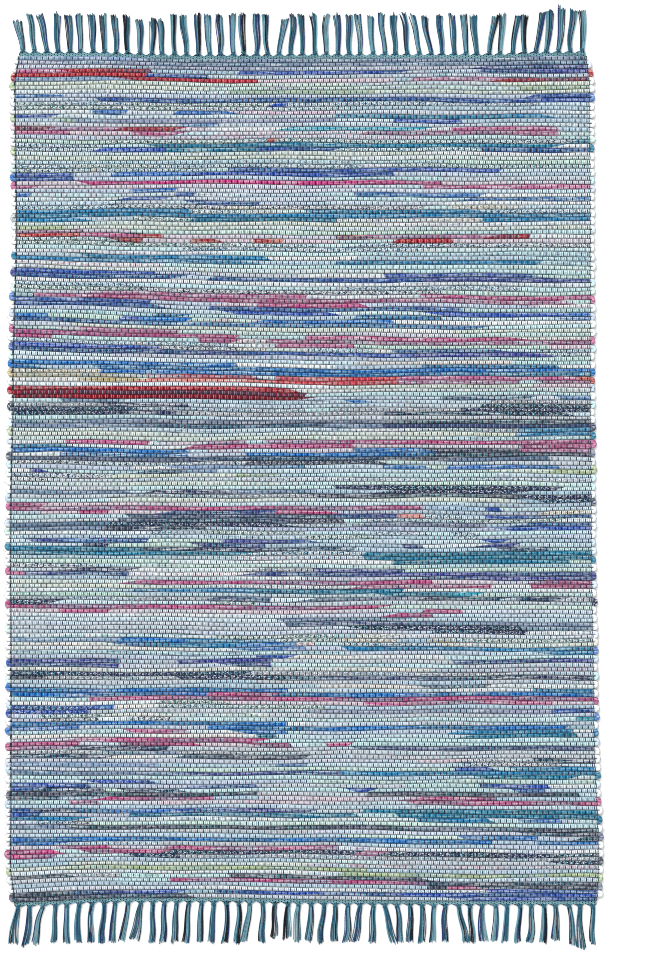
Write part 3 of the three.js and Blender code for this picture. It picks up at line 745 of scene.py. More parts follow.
def torn_rag_cotton():
    """Torn strips of cotton shirting and print: matt, creased lengthwise, with blurred streaks and flecks,
    and painted shade in its creases, at its seams and where the warps cross.
    """
    made, tree, shader = blank_material("Torn rag cotton, woven")
    place = node(tree, "ShaderNodeTexCoord").outputs["Object"]
    main = node(tree, "ShaderNodeAttribute", attribute_name="main_colour").outputs["Color"]
    second = node(tree, "ShaderNodeAttribute", attribute_name="second_colour").outputs["Color"]
    marks = node(tree, "ShaderNodeSeparateXYZ", {0: node(
        tree, "ShaderNodeAttribute", attribute_name="marks").outputs["Vector"]})
    weave = node(tree, "ShaderNodeSeparateXYZ", {0: node(tree, "ShaderNodeUVMap", uv_map="weave").outputs[0]})
    # Each rag has its own piece of the pattern, so none runs on into the next row.
    shift = node(tree, "ShaderNodeCombineXYZ", {"Z": marks.outputs["Z"]})
    own = node(tree, "ShaderNodeVectorMath", {0: place, 1: shift.outputs[0]}, operation="ADD").outputs[0]

    def stretched(length, breadth, detail, roughness):
        """Noise drawn out along the strip, with grains of the given length and breadth."""
        scale = (1 / length, 1 / breadth, 1 / breadth)
        mapped = node(tree, "ShaderNodeMapping", {"Vector": own, "Scale": scale})
        noise = node(tree, "ShaderNodeTexNoise", {
            "Vector": mapped.outputs[0], "Scale": 1.0, "Detail": detail, "Roughness": roughness})
        return noise.outputs["Fac"]

    def cover(pattern, share, edge):
        """1 over the given share of the pattern, with an edge that is sharper the higher its number."""
        least = node(tree, "ShaderNodeMapRange", {
            "Value": share, "From Min": 0.0, "From Max": 1.0, "To Min": 0.78, "To Max": 0.22})
        above = node(tree, "ShaderNodeMath", {0: pattern, 1: least.outputs[0]}, operation="SUBTRACT")
        return node(tree, "ShaderNodeMath", {0: above.outputs[0], 1: edge, 2: 0.5},
                    operation="MULTIPLY_ADD", use_clamp=True).outputs[0]

    streak = stretched(length=42 * MM, breadth=3.0 * MM, detail=5.0, roughness=0.68)
    fleck = stretched(length=3.2 * MM, breadth=2.0 * MM, detail=2.0, roughness=0.5)
    streaks = cover(streak, marks.outputs["X"], edge=6.0)
    flecks = cover(fleck, marks.outputs["Y"], edge=14.0)
    marked = node(tree, "ShaderNodeMath", {0: streaks, 1: flecks}, operation="MAXIMUM").outputs[0]
    # Of a colour mix, socket 0 is the factor, 6 and 7 are the colours, and output 2 is the result.
    colour = node(tree, "ShaderNodeMix", {0: marked, 6: main, 7: second}, data_type="RGBA")
    # Painted shade: the base colour is darkened along the creases of the strip, and at its sides in the seam
    # beside the next row.
    crease = stretched(length=80 * MM, breadth=1.3 * MM, detail=2.0, roughness=0.5)
    shade = node(tree, "ShaderNodeMapRange", {
        "Value": crease, "From Min": 0.28, "From Max": 0.50, "To Min": 0.78, "To Max": 1.0})
    mottle = node(tree, "ShaderNodeMapRange", {
        "Value": stretched(length=9 * MM, breadth=6 * MM, detail=2.0, roughness=0.65),
        "From Min": 0.3, "From Max": 0.7, "To Min": 0.84, "To Max": 1.16})
    # The middle of the rag's face lies five sixteenths of the way round its section.
    off_centre = node(tree, "ShaderNodeMath", {0: weave.outputs["Y"], 1: 5 / 16}, operation="SUBTRACT")
    off_centre = node(tree, "ShaderNodeMath", {0: off_centre.outputs[0]}, operation="ABSOLUTE")
    # Painted shade: the rag's colour darkens towards its sides, down in the seam beside the next row.
    seam = node(tree, "ShaderNodeMapRange", {
        "Value": off_centre.outputs[0], "From Min": 0.15, "From Max": 0.24, "To Min": 1.0, "To Max": 0.42})
    turn = node(tree, "ShaderNodeMath", {0: weave.outputs["X"], 1: 2 * np.pi}, operation="MULTIPLY")
    pinch = node(tree, "ShaderNodeMath", {0: turn.outputs[0]}, operation="COSINE")
    # Painted shade: the colour is a little darker where a warp crosses the rag and draws it in.
    between = node(tree, "ShaderNodeMapRange", {
        "Value": pinch.outputs[0], "From Min": -0.2, "From Max": 1.0, "To Min": 1.0, "To Max": 0.94})
    shaded = node(tree, "ShaderNodeMath", {0: shade.outputs[0], 1: seam.outputs[0]}, operation="MULTIPLY")
    shaded = node(tree, "ShaderNodeMath", {0: shaded.outputs[0], 1: between.outputs[0]}, operation="MULTIPLY")
    shaded = node(tree, "ShaderNodeMath", {0: shaded.outputs[0], 1: mottle.outputs[0]}, operation="MULTIPLY")
    toned = node(tree, "ShaderNodeVectorMath", {
        0: colour.outputs[2], "Scale": shaded.outputs[0]}, operation="SCALE")
    tree.links.new(toned.outputs[0], shader.inputs["Base Color"])
    # The rag is drawn in where a warp crosses it, and folds run along it.
    folds = node(tree, "ShaderNodeBump", {"Height": crease, "Strength": 0.5, "Distance": 1.2 * MM})
    drawn_in = node(tree, "ShaderNodeMath", {0: pinch.outputs[0], 1: -1.0}, operation="MULTIPLY")
    bump = node(tree, "ShaderNodeBump", {
        "Height": drawn_in.outputs[0], "Strength": 0.8, "Distance": 0.55 * MM, "Normal": folds.outputs[0]})
    tree.links.new(bump.outputs[0], shader.inputs["Normal"])
    shader.inputs["Roughness"].default_value = 0.92
    shader.inputs["Specular IOR Level"].default_value = 0.2
    shader.inputs["Sheen Weight"].default_value = 0.1
    return made


def plied_cotton(name, colour):
    """Dyed, plied cotton yarn: matt, with the light catching the turns of its ply."""
    made, tree, shader = blank_material(name)
    lay = node(tree, "ShaderNodeSeparateXYZ", {0: node(tree, "ShaderNodeUVMap", uv_map="lay").outputs[0]})
    # One turn of the ply each 2.6 mm along the yarn.
    along = node(tree, "ShaderNodeMath", {0: lay.outputs["Y"], 1: 1 / (2.6 * MM)}, operation="MULTIPLY")
    turns = node(tree, "ShaderNodeMath", {0: along.outputs[0], 1: lay.outputs["X"]}, operation="ADD")
    angle = node(tree, "ShaderNodeMath", {0: turns.outputs[0], 1: 2 * np.pi}, operation="MULTIPLY")
    ply = node(tree, "ShaderNodeMath", {0: angle.outputs[0]}, operation="SINE")
    bump = node(tree, "ShaderNodeBump", {"Height": ply.outputs[0], "Strength": 0.5, "Distance": 0.2 * MM})
    shader.inputs["Base Color"].default_value = (*colour, 1)
    tree.links.new(bump.outputs[0], shader.inputs["Normal"])
    shader.inputs["Roughness"].default_value = 0.9
    shader.inputs["Specular IOR Level"].default_value = 0.2
    shader.inputs["Sheen Weight"].default_value = 0.15
    return made


def studio_paper():
    """Seamless matt white background paper: no gloss, with a faint grain."""
    made, tree, shader = blank_material("Matt background paper")
    place = node(tree, "ShaderNodeTexCoord").outputs["Object"]
    grain = node(tree, "ShaderNodeTexNoise", {"Vector": place, "Scale": 900.0, "Detail": 2.0})
    bump = node(tree, "ShaderNodeBump", {
        "Height": grain.outputs["Fac"], "Strength": 0.05, "Distance": 0.2 * MM})
    tree.links.new(bump.outputs[0], shader.inputs["Normal"])
    shader.inputs["Base Color"].default_value = (0.98, 0.98, 0.98, 1)
    shader.inputs["Roughness"].default_value = 1.0
    shader.inputs["Specular IOR Level"].default_value = 0.0
    return made


# ------------------------------------------------------------------------------------ rags


def rag_cloth(dye, finish):
    """Main colour, second colour, streaks and flecks of a dyed rag, by how worn or printed it is."""
    colour, beside = (linear(shade) for shade in DYES[dye])
    streaks, flecks = FINISHES[finish]
    white = linear(PALES["milk"])
    pairs = {
        "plain": (colour, 0.7 * beside + 0.3 * white),
        "dark": (colour, 0.45 * colour),
        "pale": (0.67 * white + 0.33 * colour, 0.5 * beside + 0.5 * white),
        "streak": (colour, 0.5 * white + 0.5 * beside),
        "print": (colour, 0.8 * white + 0.2 * beside),
        "washed": (0.65 * colour + 0.35 * white, white),
        "fleck": (colour, beside),
        "speckle": (0.9 * white + 0.1 * colour, 0.8 * colour),
    }
    main, second = pairs[finish]
    return main, second, streaks, flecks


def pale_cloth(row, chance):
    """Main colour, second colour and marks of a pale rag, picked from those used around that row."""
    names = next(names for last, names in PALE_ZONES if row < last)
    main = linear(PALES[names[chance.integers(len(names))]]) * chance.uniform(*PALE_LIGHT)
    second = linear(FAINT[chance.integers(len(FAINT))]) * chance.uniform(*FAINT_LIGHT)
    streaks = chance.uniform(*PALE_STREAKS)
    flecks = chance.uniform(*PALE_FLECKS) if chance.random() < FLECKED_RAGS else 0.0
    return main, second, streaks, flecks


def row_rags(row, chance):
    """The rags of one row from left to right: where each one ends, as a share of the width, and its cloth."""
    rags = []
    reached = 0.0
    width = CLOTH_WIDTH / CM
    for start, end, dye, finish in [*RAGS.get(row, []), (width, width, None, None)]:
        while start - reached > FREE_LEAST:
            stop = reached + chance.uniform(*PALE_RAG)
            stop = start if start - stop < PALE_RAG_LEAST else stop
            rags.append([stop / width, pale_cloth(row, chance)])
            reached = stop
        if rags:
            rags[-1][0] = start / width
        if dye:
            reached = width if width - end < FREE_LEAST else end
            rags.append([reached / width, rag_cloth(dye, finish)])
    rags[-1][0] = 1.0
    return rags


def row_rings(row, chance):
    """Rings of one row from left to right: share across, slant of the ring and its cloth."""
    rags = row_rags(row, chance)
    ends = [end for end, _ in rags]
    joins = []
    for k, end in enumerate(ends[:-1]):
        room = min(end - (ends[k - 1] if k else 0), ends[k + 1] - end) * CLOTH_WIDTH
        longest = LONG_JOIN if chance.random() < LONG_JOINS else SHORT_JOIN
        slant = chance.choice((-1, 1)) * min(chance.uniform(1, longest) * MM, JOIN_ROOM * room)
        joins.append((end, slant, k))
    rings = []
    for share in STATIONS:
        if all(abs(share - end) * CLOTH_WIDTH > abs(slant) + JOIN_CLEAR for end, slant, _ in joins):
            cloth = next(k for k, end in enumerate(ends) if share <= end)
            rings.append((share, 0.0, cloth))
    for end, slant, k in joins:
        step = JOIN_HALF / CLOTH_WIDTH
        rings += [(end - step, slant, k), (end + step, slant, k + 1)]
    rings.sort()
    shifts = chance.uniform(0, PATTERN_SHIFT, len(rags))
    return [(share, slant, (*rags[k][1], shifts[k])) for share, slant, k in rings]


def turn_cloth(row, chance):
    """Cloth of the turn that joins a row to the next one."""
    turns = RIGHT_TURNS if row % 2 else LEFT_TURNS
    if row in turns:
        cloth = rag_cloth(*turns[row])
    elif chance.random() < PALE_TURNS:
        cloth = pale_cloth(row, chance)
    else:
        white = linear(PALES["milk"]) * chance.uniform(*WHITE_LIGHT)
        cloth = (white, linear(FAINT[chance.integers(len(FAINT))]), *WHITE_MARKS)
    return (*cloth, chance.uniform(0, PATTERN_SHIFT))


def rag_route(settings, chance):
    """Row, share across, slant, angle in a turn and reach of every ring of the rag, and the rings' cloths."""
    rings = []
    cloths = []
    for row in range(ROWS):
        course = row_rings(row, chance)
        if row % 2 == 0:
            course = course[::-1]
        for share, slant, cloth in course:
            rings.append((row, share, slant, STRAIGHT, 0.0))
            cloths.append(cloth)
        if row < ROWS - 1:
            cloth = turn_cloth(row, chance)
            reach = settings.turn_reach * chance.uniform(*REACH_SPREAD)
            for angle in TURN_ANGLES:
                rings.append((row, row % 2, 0.0, angle, reach))
                cloths.append(cloth)
    return np.array(rings).T, cloths


def rag_strip(settings):
    """The whole rag, row after row and turn after turn: its rings, their rows, shares across and cloths."""
    chance = np.random.default_rng(settings.seed)
    (row_of, share_of, slant_of, angle_of, reach_of), cloths = rag_route(settings, chance)
    row_of = row_of.astype(int)
    turning = angle_of >= 0
    upper = seam_y(row_of, share_of)
    lower = seam_y(row_of + 1, share_of)
    beyond = seam_y(np.minimum(row_of + 2, ROWS), share_of)
    bent = np.cos(angle_of)
    turned_y = lower + 0.25 * (upper - beyond) * np.sign(bent) * np.abs(bent) ** TURN_SQUARE_Y
    y = np.where(turning, turned_y, (upper + lower) / 2)
    side = np.where(row_of % 2 == 1, 1.0, -1.0)
    bulge = side * reach_of * np.abs(np.sin(angle_of)) ** TURN_SQUARE_X
    x = place_across(share_of, y) + np.where(turning, bulge, 0)
    half_width = np.where(turning, TURN_HALF_WIDTH, 0.5 * (upper - lower))
    half_height = settings.rag_thickness / 2 * rag_bulk(row_of, share_of)
    # Along the row, or round the turn.
    ahead = np.stack([side, np.zeros_like(side)], 1)
    round_turn = np.stack([side * reach_of * np.cos(angle_of), -TURN_RADIUS * np.sin(angle_of)], 1)
    round_turn /= np.maximum(np.linalg.norm(round_turn, axis=1, keepdims=True), 1e-9)
    ahead = np.where(turning[:, None], round_turn, ahead)
    across = np.stack([-ahead[:, 1], ahead[:, 0]], 1)
    uneven = 1 + RAG_UNEVEN * chance.standard_normal((len(x), len(RAG_PROFILE))).clip(-2, 2)
    a = RAG_PROFILE[:, 0] * np.where(turning[:, None], uneven, 1)
    b = RAG_PROFILE[:, 1] * uneven
    slide = slant_of[:, None] * a * side[:, None]
    points = np.empty((len(x), len(RAG_PROFILE), 3))
    points[:, :, 0] = x[:, None] + across[:, :1] * half_width[:, None] * a + slide
    points[:, :, 1] = y[:, None] + across[:, 1:] * half_width[:, None] * a
    points[:, :, 2] = (GROUND_GAP + half_height)[:, None] + half_height[:, None] * b
    return points, row_of, share_of[:, None] + slide / CLOTH_WIDTH, cloths


class RAGRUG_OT_rags(bpy.types.Operator):
    """Weave the rag strip to and fro across the rug, turning at the selvedges"""
    bl_idname = "rag_rug.rags"
    bl_label = "Rag Rows"

    def execute(self, context):
        points, row_of, share_of, cloths = rag_strip(context.scene.rag_rug_weave)
        rings, around = points.shape[:2]
        quads, _, ring, spot = grid_faces(1, rings, around, True)
        share = share_of[ring, np.round(spot * around).astype(int) % around]
        caps = [np.arange(around)[None, :], (np.arange(around) + (rings - 1) * around)[None, ::-1]]
        warp = share * WARPS - 0.5 - row_of[ring] % 2
        # The sheet is spread flat within a margin, and the strip's two caps have no place of their own on it.
        weave = np.stack([warp / 2, spot], -1).reshape(-1, 2)
        sheet = np.stack([0.02 + 0.96 * share, (row_of[ring] + spot) / ROWS], -1).reshape(-1, 2)
        spare = np.full((2 * around, 2), 0.5)
        uv = {"weave": np.concatenate([weave, spare]), "OFBake": np.concatenate([sheet, spare])}
        ones = np.ones((rings, 1))
        main = np.hstack([np.array([c[0] for c in cloths]), ones]).repeat(around, 0)
        second = np.hstack([np.array([c[1] for c in cloths]), ones]).repeat(around, 0)
        marks = np.array([c[2:] for c in cloths]).repeat(around, 0)
        piece = mesh_piece("rag_rows", points.reshape(-1, 3), [quads, *caps], uv, {
            "main_colour": ("FLOAT_COLOR", "color", main),
            "second_colour": ("FLOAT_COLOR", "color", second),
            "marks": ("FLOAT_VECTOR", "vector", marks),
        })
        piece.data.materials.append(torn_rag_cotton())
        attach(piece, "root")
        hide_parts("woven_body")
        return {"FINISHED"}


# ------------------------------------------------------------------------------------ warps


def crossings(share, settings):
    """Y, pitch and height of every crossing of the warps with headings and rows: crossing by warp."""
    rows = np.arange(ROWS)[:, None]
    upper = seam_y(rows, share)
    lower = seam_y(rows + 1, share)
    top = GROUND_GAP + settings.rag_thickness * rag_bulk(rows, share)
    picks = (np.arange(HEADING_PICKS)[:, None] + 0.5) * HEADING_PITCH + PICK_GAP + np.zeros_like(share)
    head = CLOTH_HIGH.y + picks[::-1] + end_bow(1, share)
    foot = CLOTH_LOW.y - picks + end_bow(-1, share)
    heading_pitch = np.full_like(picks, HEADING_PITCH)
    heading_over = np.full_like(picks, OVER_HEADING)
    y = np.concatenate([head, (upper + lower) / 2, foot])
    pitch = np.concatenate([heading_pitch, upper - lower, heading_pitch])
    over = np.concatenate([heading_over, top + OVER_RAG, heading_over])
    return y, pitch, over


def warp_ribbons(first, settings, yarn):
    """Points and normals of every sixth warp, counted from the first, as ribbons two points wide."""
    chance = np.random.default_rng(100 + first)
    warps = np.arange(first, WARPS, WARP_REPEAT)
    share = (warps + 0.5) / WARPS
    y, pitch, top = crossings(share, settings)
    number = np.arange(len(y))[:, None]
    over = (number + HEADING_PICKS + warps) % 2 == 0
    z = np.where(over, top, UNDER_RAG)
    stations = np.stack([y + CROSSING_HALF * pitch, y - CROSSING_HALF * pitch], 1).reshape(-1, len(warps)).T
    heights = np.repeat(z, 2, axis=0).T
    sag = np.where(np.repeat(over, 2, axis=0).T, chance.uniform(0, WARP_SAG, heights.shape), 0)
    wobble = WARP_WOBBLE * chance.standard_normal(heights.shape).clip(-2, 2)
    # No two warps are spaced alike: each has settled a little to one side and drifts along its length.
    settled = WARP_DRIFT * chance.standard_normal((len(warps), 1)).clip(-1.8, 1.8)
    waves = 2 * np.pi / (chance.uniform(*DRIFT_WAVE, (len(warps), 1)) * MM)
    drift = WARP_DRIFT * np.sin(stations * waves + chance.uniform(0, 2 * np.pi, (len(warps), 1)))
    x = place_across(share[:, None], stations) + wobble + settled + drift
    middle = np.stack([x, stations, heights - sag], -1)
    spread = DARK_SPREAD if WARP_COLOURS[first] in ("black", "navy") else PALE_SPREAD
    half = yarn.warp_width / 2 * spread * chance.uniform(*WIDTH_SPREAD, heights.shape)
    points = middle[:, :, None] + half[:, :, None, None] * np.array([(-1, 0, 0), (1, 0, 0)])
    ahead = np.gradient(middle, axis=1)
    up = np.stack([np.zeros_like(x), ahead[:, :, 2], -ahead[:, :, 1]], -1)
    up /= np.linalg.norm(up, axis=-1, keepdims=True)
    upright = up * np.cos(YARN_ROUNDING)
    lean = (np.sin(YARN_ROUNDING), 0, 0)
    return points, np.stack([upright - lean, upright + lean], 2)


class RAGRUG_OT_warps(bpy.types.Operator):
    """Lay the striped warp over and under every rag row and heading pick"""
    bl_idname = "rag_rug.warps"
    bl_label = "Warp Yarns"

    def execute(self, context):
        yarn = context.scene.rag_rug_yarn
        made = {}
        for colour in ("black", "teal", "navy", "sage"):
            made[colour] = plied_cotton(f"{colour.title()} warp cotton, plied", getattr(yarn, colour))
        for name, first in WARP_PIECES:
            points, normals = warp_ribbons(first, context.scene.rag_rug_weave, yarn)
            count, stations = points.shape[:2]
            quads, strip, ring, spot = grid_faces(count, stations, 2, False)
            along = points[:, :, 0, 1].max() - points[:, :, 0, 1]
            lay = np.stack([spot, along[strip, ring]], -1).reshape(-1, 2)
            sheet = np.stack([(strip + 0.1 + 0.8 * spot) / count, along[strip, ring] / along.max()], -1)
            uv = {"lay": lay, "OFBake": sheet.reshape(-1, 2)}
            piece = mesh_piece(name, points.reshape(-1, 3), [quads], uv)
            piece.data.normals_split_custom_set_from_vertices(normals.reshape(-1, 3).tolist())
            piece.data.materials.append(made[WARP_COLOURS[first]])
            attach(piece, "root")
        return {"FINISHED"}


class RAGRUG_OT_selvedges(bpy.types.Operator):
    """Run two dark yarns down each selvedge, over and under the rags in turn"""
    bl_idname = "rag_rug.selvedges"
    bl_label = "Selvedge Warps"

    def execute(self, context):
        settings = context.scene.rag_rug_weave
        stations = (np.arange(ROWS * SELVEDGE_STEPS) + 0.5) / SELVEDGE_STEPS
        rows = stations.astype(int)
        paths = []
        for side in (-1, 1):
            share = 0.0 if side < 0 else 1.0
            upper = seam_y(rows, share)
            lower = seam_y(rows + 1, share)
            y = upper + (lower - upper) * (stations - rows)
            middle = GROUND_GAP + settings.rag_thickness / 2
            for start in (0, 1):
                swing = np.cos(np.pi * (stations - 0.5 + start))
                z = middle + swing * (settings.rag_thickness / 2 - SELVEDGE_SETTLE)
                x = selvedge_x(side, y) - side * (SELVEDGE_INSET + SELVEDGE_PITCH * start) * MM
                x = x + SELVEDGE_SWING * swing * side
                paths.append(np.stack([x, y, z], -1))
        points, faces, lay, _ = tubes(np.array(paths), SELVEDGE_RADIUS)
        piece = mesh_piece("selvedge_warps", points, faces, {"lay": lay})
        piece.data.materials.append(plied_cotton("Selvedge cotton, plied double", linear("#1B2F3C")))
        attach(piece, "root")
        return {"FINISHED"}


class RAGRUG_OT_headings(bpy.types.Operator):
    """Weave a narrow heading of thin yarn at each end, outside the last rag"""
    bl_idname = "rag_rug.headings"
    bl_label = "Headings"

    def execute(self, context):
        chance = np.random.default_rng(31)
        share = np.linspace(0.0, 1.0, HEADING_STATIONS)
        for name, replaced, edge, outward in ENDS:
            paths = []
            for pick in range(HEADING_PICKS):
                y = edge + outward * (PICK_GAP + (pick + 0.5) * HEADING_PITCH) + end_bow(outward, share)
                y = y + HEADING_WANDER * chance.standard_normal(len(share))
                x = place_across(share, y) * HEADING_DRAW_IN
                z = HEADING_HEIGHT + HEADING_LIFT * chance.standard_normal(len(share))
                paths.append(np.stack([x, y, z], -1))
            points, faces, lay, _ = tubes(np.array(paths), HEADING_RADIUS)
            piece = mesh_piece(f"heading_{name}", points, faces, {"lay": lay})
            piece.data.materials.append(plied_cotton("Heading cotton, plied", linear("#86B4BC")))
            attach(piece, "root")
            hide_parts(replaced)
        return {"FINISHED"}


# ------------------------------------------------------------------------------------ fringes


def own_colours(number, chance):
    """The colours of a tassel's yarns, in the order of the warp, where one colour leads."""
    own = [WARP_COLOURS[(number * TASSEL_YARNS + place) % WARP_REPEAT] for place in range(TASSEL_YARNS)]
    favourite = chance.choice(WARP_COLOURS)
    return [favourite if chance.random() < FAVOURITE else colour for colour in own]


def tassel_yarns(knots, tips, outward, edge, chance):
    """Paths of the yarns of every tassel on one side: from the heading, through the knot, out to the tip."""
    paths = []
    colours = []
    half = (TASSEL_YARNS - 1) / 2
    for number, (knot, lock_tips) in enumerate(zip(knots, tips)):
        heading = edge + outward * (PICK_GAP + HEADING_DEPTH) + end_bow(outward, (number + 0.5) / len(knots))
        # Yarns of a colour hang together.
        own = own_colours(number, chance)
        rank = dict(zip(("black", "teal", "navy", "sage"), chance.permutation(4)))
        order = np.argsort(np.argsort([rank[colour] + chance.uniform(0, COLOUR_MIXING) for colour in own]))
        bow = chance.uniform(-TASSEL_BOW, TASSEL_BOW) * MM
        wave = chance.uniform(-TASSEL_WAVE, TASSEL_WAVE) * MM
        curl = chance.uniform(-TASSEL_CURL, TASSEL_CURL) * MM
        colours += own
        for place in range(TASSEL_YARNS):
            lock, strand = divmod(order[place], TASSEL_YARNS // LOCKS)
            beside = (strand - 1.5) * YARN_PITCH
            layer = YARN_LAYERS[strand % 2] * MM
            aside = beside * TIP_SPREAD + chance.normal(0, TIP_ASIDE)
            tip = lock_tips[lock] + (aside, chance.normal(0, TIP_OUT), 0)
            own_bow = bow + chance.normal(0, YARN_BOW)
            root_x = place_across((number + (place + 0.5) / TASSEL_YARNS) / len(knots), edge)
            path = [
                (x, heading + outward * out * MM, up * MM) for x, (out, up) in (
                    (root_x, YARN_ROOT),
                    (0.7 * root_x + 0.3 * knot[0], YARN_GATHER),
                    (knot[0] + KNOT_HALF * ((place - half) / half), YARN_KNOT))]
            gather = knot[0] + (lock - 1) * LOCK_GATHER + beside * 0.7
            start = heading + outward * YARN_FREE[0] * MM
            # It bows, waves and curls on its way out to the tip.
            for t in np.linspace(0, 1, YARN_STATIONS):
                x = gather + (tip[0] - gather) * t + own_bow * np.sin(np.pi * t) + curl * t ** 3
                x += wave * np.sin(2 * np.pi * t)
                y = start + (tip[1] - start) * t
                z = layer + (YARN_FREE[1] * MM - layer) * max(0, 1 - t / YARN_SUNK)
                path.append((x, y, z))
            paths.append(path)
    return np.array(paths), colours


def knot_wraps(knots, outward, chance):
    """Rings of yarn wound round each tassel at its knot, as one joined mesh."""
    bpy.ops.object.select_all(action="DESELECT")
    bpy.ops.mesh.primitive_torus_add(
        major_segments=12, minor_segments=5, major_radius=1.0, minor_radius=0.32, rotation=(np.pi / 2, 0, 0))
    ring = bpy.context.object
    bpy.ops.object.transform_apply(location=False, rotation=True, scale=False)
    points = np.empty(3 * len(ring.data.vertices))
    ring.data.vertices.foreach_get("co", points)
    points = points.reshape(-1, 3)
    faces = np.empty(4 * len(ring.data.polygons), dtype=np.int32)
    ring.data.polygons.foreach_get("vertices", faces)
    faces = faces.reshape(-1, 4)
    bpy.data.objects.remove(ring)
    all_points, all_faces = [], []
    for knot in knots:
        for out, tilt in KNOT_WRAPS:
            lean = tilt + chance.normal(0, WRAP_LEAN)
            wrap = points * WRAP_SIZE * chance.uniform(*WRAP_SPREAD)
            turned = wrap.copy()
            turned[:, 0] = wrap[:, 0] * np.cos(lean) - wrap[:, 1] * np.sin(lean)
            turned[:, 1] = wrap[:, 0] * np.sin(lean) + wrap[:, 1] * np.cos(lean)
            place = (knot[0] + chance.normal(0, WRAP_ASIDE), knot[1] + outward * out * MM, KNOT_MIDDLE)
            all_faces.append(faces + len(points) * len(all_points))
            all_points.append(turned + place)
    return np.concatenate(all_points), [np.concatenate(all_faces)]


class RAGRUG_OT_fringes(bpy.types.Operator):
    """Knot the warp yarns into tassels at both ends and lay them out on the floor"""
    bl_idname = "rag_rug.fringes"
    bl_label = "Knotted Fringes"

    def execute(self, context):
        yarn = context.scene.rag_rug_yarn
        shades = {"black": "#0C1420", "teal": "#2A6278", "navy": "#203A6C", "sage": "#6C9CAA"}
        names = list(shades)
        cottons = [plied_cotton(f"{n.title()} fringe cotton, plied", linear(shades[n])) for n in names]
        knot_cotton = plied_cotton("Knot cotton, plied", linear("#2A6478"))
        for name, replaced, edge, outward in ENDS:
            chance = np.random.default_rng(60 + outward)
            knots, tips = tassels(replaced, outward)
            knots[:, 1] += end_bow(outward, (np.arange(len(knots)) + 0.5) / len(knots))
            paths, colours = tassel_yarns(knots, tips, outward, edge, chance)
            points, faces, lay, strip = tubes(paths, yarn.fringe_yarn / 2)
            piece = mesh_piece(f"fringe_yarns_{name}", points, faces, {"lay": lay})
            for cotton in cottons:
                piece.data.materials.append(cotton)
            slots = np.array([names.index(c) for c in colours])
            piece.data.polygons.foreach_set(
                "material_index", np.concatenate([slots[strip], slots, slots]).astype(np.int32))
            points, faces = knot_wraps(knots, outward, chance)
            wraps = mesh_piece(f"fringe_knots_{name}", points, faces, {
                "lay": np.zeros((4 * len(faces[0]), 2))})
            wraps.data.materials.append(knot_cotton)
            for part in (piece, wraps):
                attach(part, "root")
                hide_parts(replaced)
        return {"FINISHED"}


# ------------------------------------------------------------------------------------ loose fibres


def strew(name, places, heading, height, radius, made, chance):
    """Lay curling fibres at places, each starting off along its heading."""
    run = np.linspace(0, 1, FIBRE_STATIONS)
    count = len(places)
    length = chance.uniform(*FIBRE_LENGTH, (count, 1)) * MM
    angle = heading[:, None] + chance.uniform(-FIBRE_CURL, FIBRE_CURL, (count, 1)) * run
    step = np.stack([np.cos(angle), np.sin(angle)], -1) * length[:, :, None] / len(run)
    flat = places[:, None] + np.cumsum(step, axis=1)
    level = height + FIBRE_RISE * np.sin(np.pi * run) + np.zeros((count, 1))
    taper = radius * (FIBRE_THIN + (1 - FIBRE_THIN) * np.sin(np.pi * run))
    points, faces, lay, _ = tubes(np.concatenate([flat, level[:, :, None]], -1), taper)
    piece = mesh_piece(name, points, faces, {"lay": lay})
    piece.data.materials.append(made)
    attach(piece, "root")


class RAGRUG_OT_fibres(bpy.types.Operator):
    """Leave a little lint on the face and a few loose thread ends along the selvedges"""
    bl_idname = "rag_rug.fibres"
    bl_label = "Loose Fibres"

    def execute(self, context):
        settings = context.scene.rag_rug_weave
        chance = np.random.default_rng(71)
        half_width, half_length = STREWN_HALF
        # Lint: torn cotton fluff, short curls lying anywhere on the face.
        x = chance.uniform(-half_width, half_width, LINT_TUFTS)
        y = chance.uniform(-half_length, half_length, LINT_TUFTS)
        heading = chance.uniform(0, 2 * np.pi, LINT_TUFTS)
        top = GROUND_GAP + settings.rag_thickness + LINT_LIFT
        lint = plied_cotton("Cotton lint, torn fluff", linear("#F4F8FA"))
        strew("lint_tufts", np.stack([x, y], -1), heading, top, LINT_RADIUS, lint, chance)
        # Loose ends: cut yarn standing out of the turns, level with the middle of the cloth.
        side = np.where(np.arange(LOOSE_ENDS) % 2, 1, -1)
        y = chance.uniform(-half_length, half_length, LOOSE_ENDS)
        x = np.array([selvedge_x(s, place) for s, place in zip(side, y)]) + side * LOOSE_OUT
        heading = np.where(side > 0, 0, np.pi) + chance.uniform(-1.1, 1.1, LOOSE_ENDS)
        ends = plied_cotton("Loose cotton ends, plied yarn", linear("#3A5A86"))
        strew("loose_ends", np.stack([x, y], -1), heading, LOOSE_HEIGHT, LOOSE_RADIUS, ends, chance)
        return {"FINISHED"}


# ------------------------------------------------------------------------------------ stage


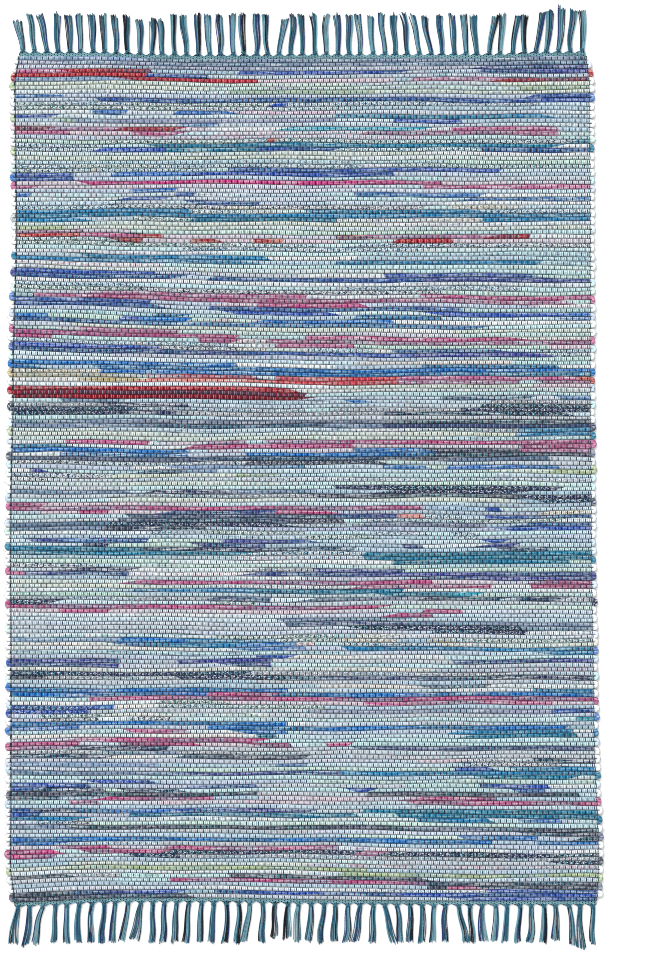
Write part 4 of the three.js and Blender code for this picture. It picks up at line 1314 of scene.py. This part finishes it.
class RAGRUG_OT_studio(bpy.types.Operator):
    """Set up a white floor, soft light from the head side, and a camera straight above"""
    bl_idname = "rag_rug.studio"
    bl_label = "Studio"

    def execute(self, context):
        settings = context.scene.rag_rug_studio
        bpy.ops.object.select_all(action="DESELECT")
        bpy.ops.mesh.primitive_plane_add(size=settings.floor_size)
        floor = context.object
        floor.name = "studio_floor"
        floor.data.materials.append(studio_paper())
        world = bpy.data.worlds.new("Studio light")
        world.use_nodes = True
        surround = world.node_tree.nodes["Background"].inputs
        surround["Color"].default_value = (1, 1, 1, 1)
        surround["Strength"].default_value = 0.82
        context.scene.world = world
        # A large soft box far off at the head end, so that its light falls off little along the rug.
        tilt = (np.radians(-46), np.radians(-24), 0)
        bpy.ops.object.light_add(type="AREA", location=(-8.0, 13.0, 12.0), rotation=tilt)
        lamp = context.object
        lamp.name = "soft_box"
        lamp.data.shape = "RECTANGLE"
        lamp.data.size = 10.0
        lamp.data.size_y = 6.0
        lamp.data.energy = 2820
        # The view is 1.954 m high at the floor, and its middle is a little to the right of the rug's.
        view_height = 1.9538
        middle = (0.0459, -0.0054)
        sensor = 36
        bpy.ops.object.camera_add(location=(*middle, settings.camera_height), rotation=(0, 0, 0))
        camera = context.object
        camera.name = "studio_camera"
        camera.data.sensor_width = sensor
        camera.data.lens = sensor * settings.camera_height / view_height
        context.scene.camera = camera
        context.scene.view_settings.view_transform = "Standard"
        # A narrow pixel filter keeps single yarns crisp.
        context.scene.cycles.filter_width = 1.0
        return {"FINISHED"}


class RAGRUG_PT_panel(bpy.types.Panel):
    bl_idname = "RAGRUG_PT_panel"
    bl_label = "Rag Rug"
    bl_space_type = "VIEW_3D"
    bl_region_type = "UI"
    bl_category = "Rag Rug"

    def draw(self, context):
        layout = self.layout
        scene = context.scene
        for settings, names in (
                (scene.rag_rug_weave, ("rag_thickness", "turn_reach", "seed")),
                (scene.rag_rug_yarn, ("warp_width", "fringe_yarn", "black", "teal", "navy", "sage")),
                (scene.rag_rug_studio, ("floor_size", "camera_height"))):
            for name in names:
                layout.prop(settings, name)
        for operator in OPERATORS:
            layout.operator(operator.bl_idname)


SETTINGS = (RagRugWeave, RagRugYarn, RagRugStudio)
OPERATORS = (
    RAGRUG_OT_rags, RAGRUG_OT_warps, RAGRUG_OT_selvedges, RAGRUG_OT_headings, RAGRUG_OT_fringes,
    RAGRUG_OT_fibres, RAGRUG_OT_studio)


def register():
    for part in (*SETTINGS, *OPERATORS, RAGRUG_PT_panel):
        bpy.utils.register_class(part)
    bpy.types.Scene.rag_rug_weave = bpy.props.PointerProperty(type=RagRugWeave)
    bpy.types.Scene.rag_rug_yarn = bpy.props.PointerProperty(type=RagRugYarn)
    bpy.types.Scene.rag_rug_studio = bpy.props.PointerProperty(type=RagRugStudio)


def unregister():
    del bpy.types.Scene.rag_rug_weave
    del bpy.types.Scene.rag_rug_yarn
    del bpy.types.Scene.rag_rug_studio
    for part in reversed((*SETTINGS, *OPERATORS, RAGRUG_PT_panel)):
        bpy.utils.unregister_class(part)


def main():
    register()
    bpy.ops.rag_rug.rags()
    bpy.ops.rag_rug.warps()
    bpy.ops.rag_rug.selvedges()
    bpy.ops.rag_rug.headings()
    bpy.ops.rag_rug.fringes()
    bpy.ops.rag_rug.fibres()
    bpy.ops.rag_rug.studio()
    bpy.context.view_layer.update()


if __name__ == "__main__":
    main()
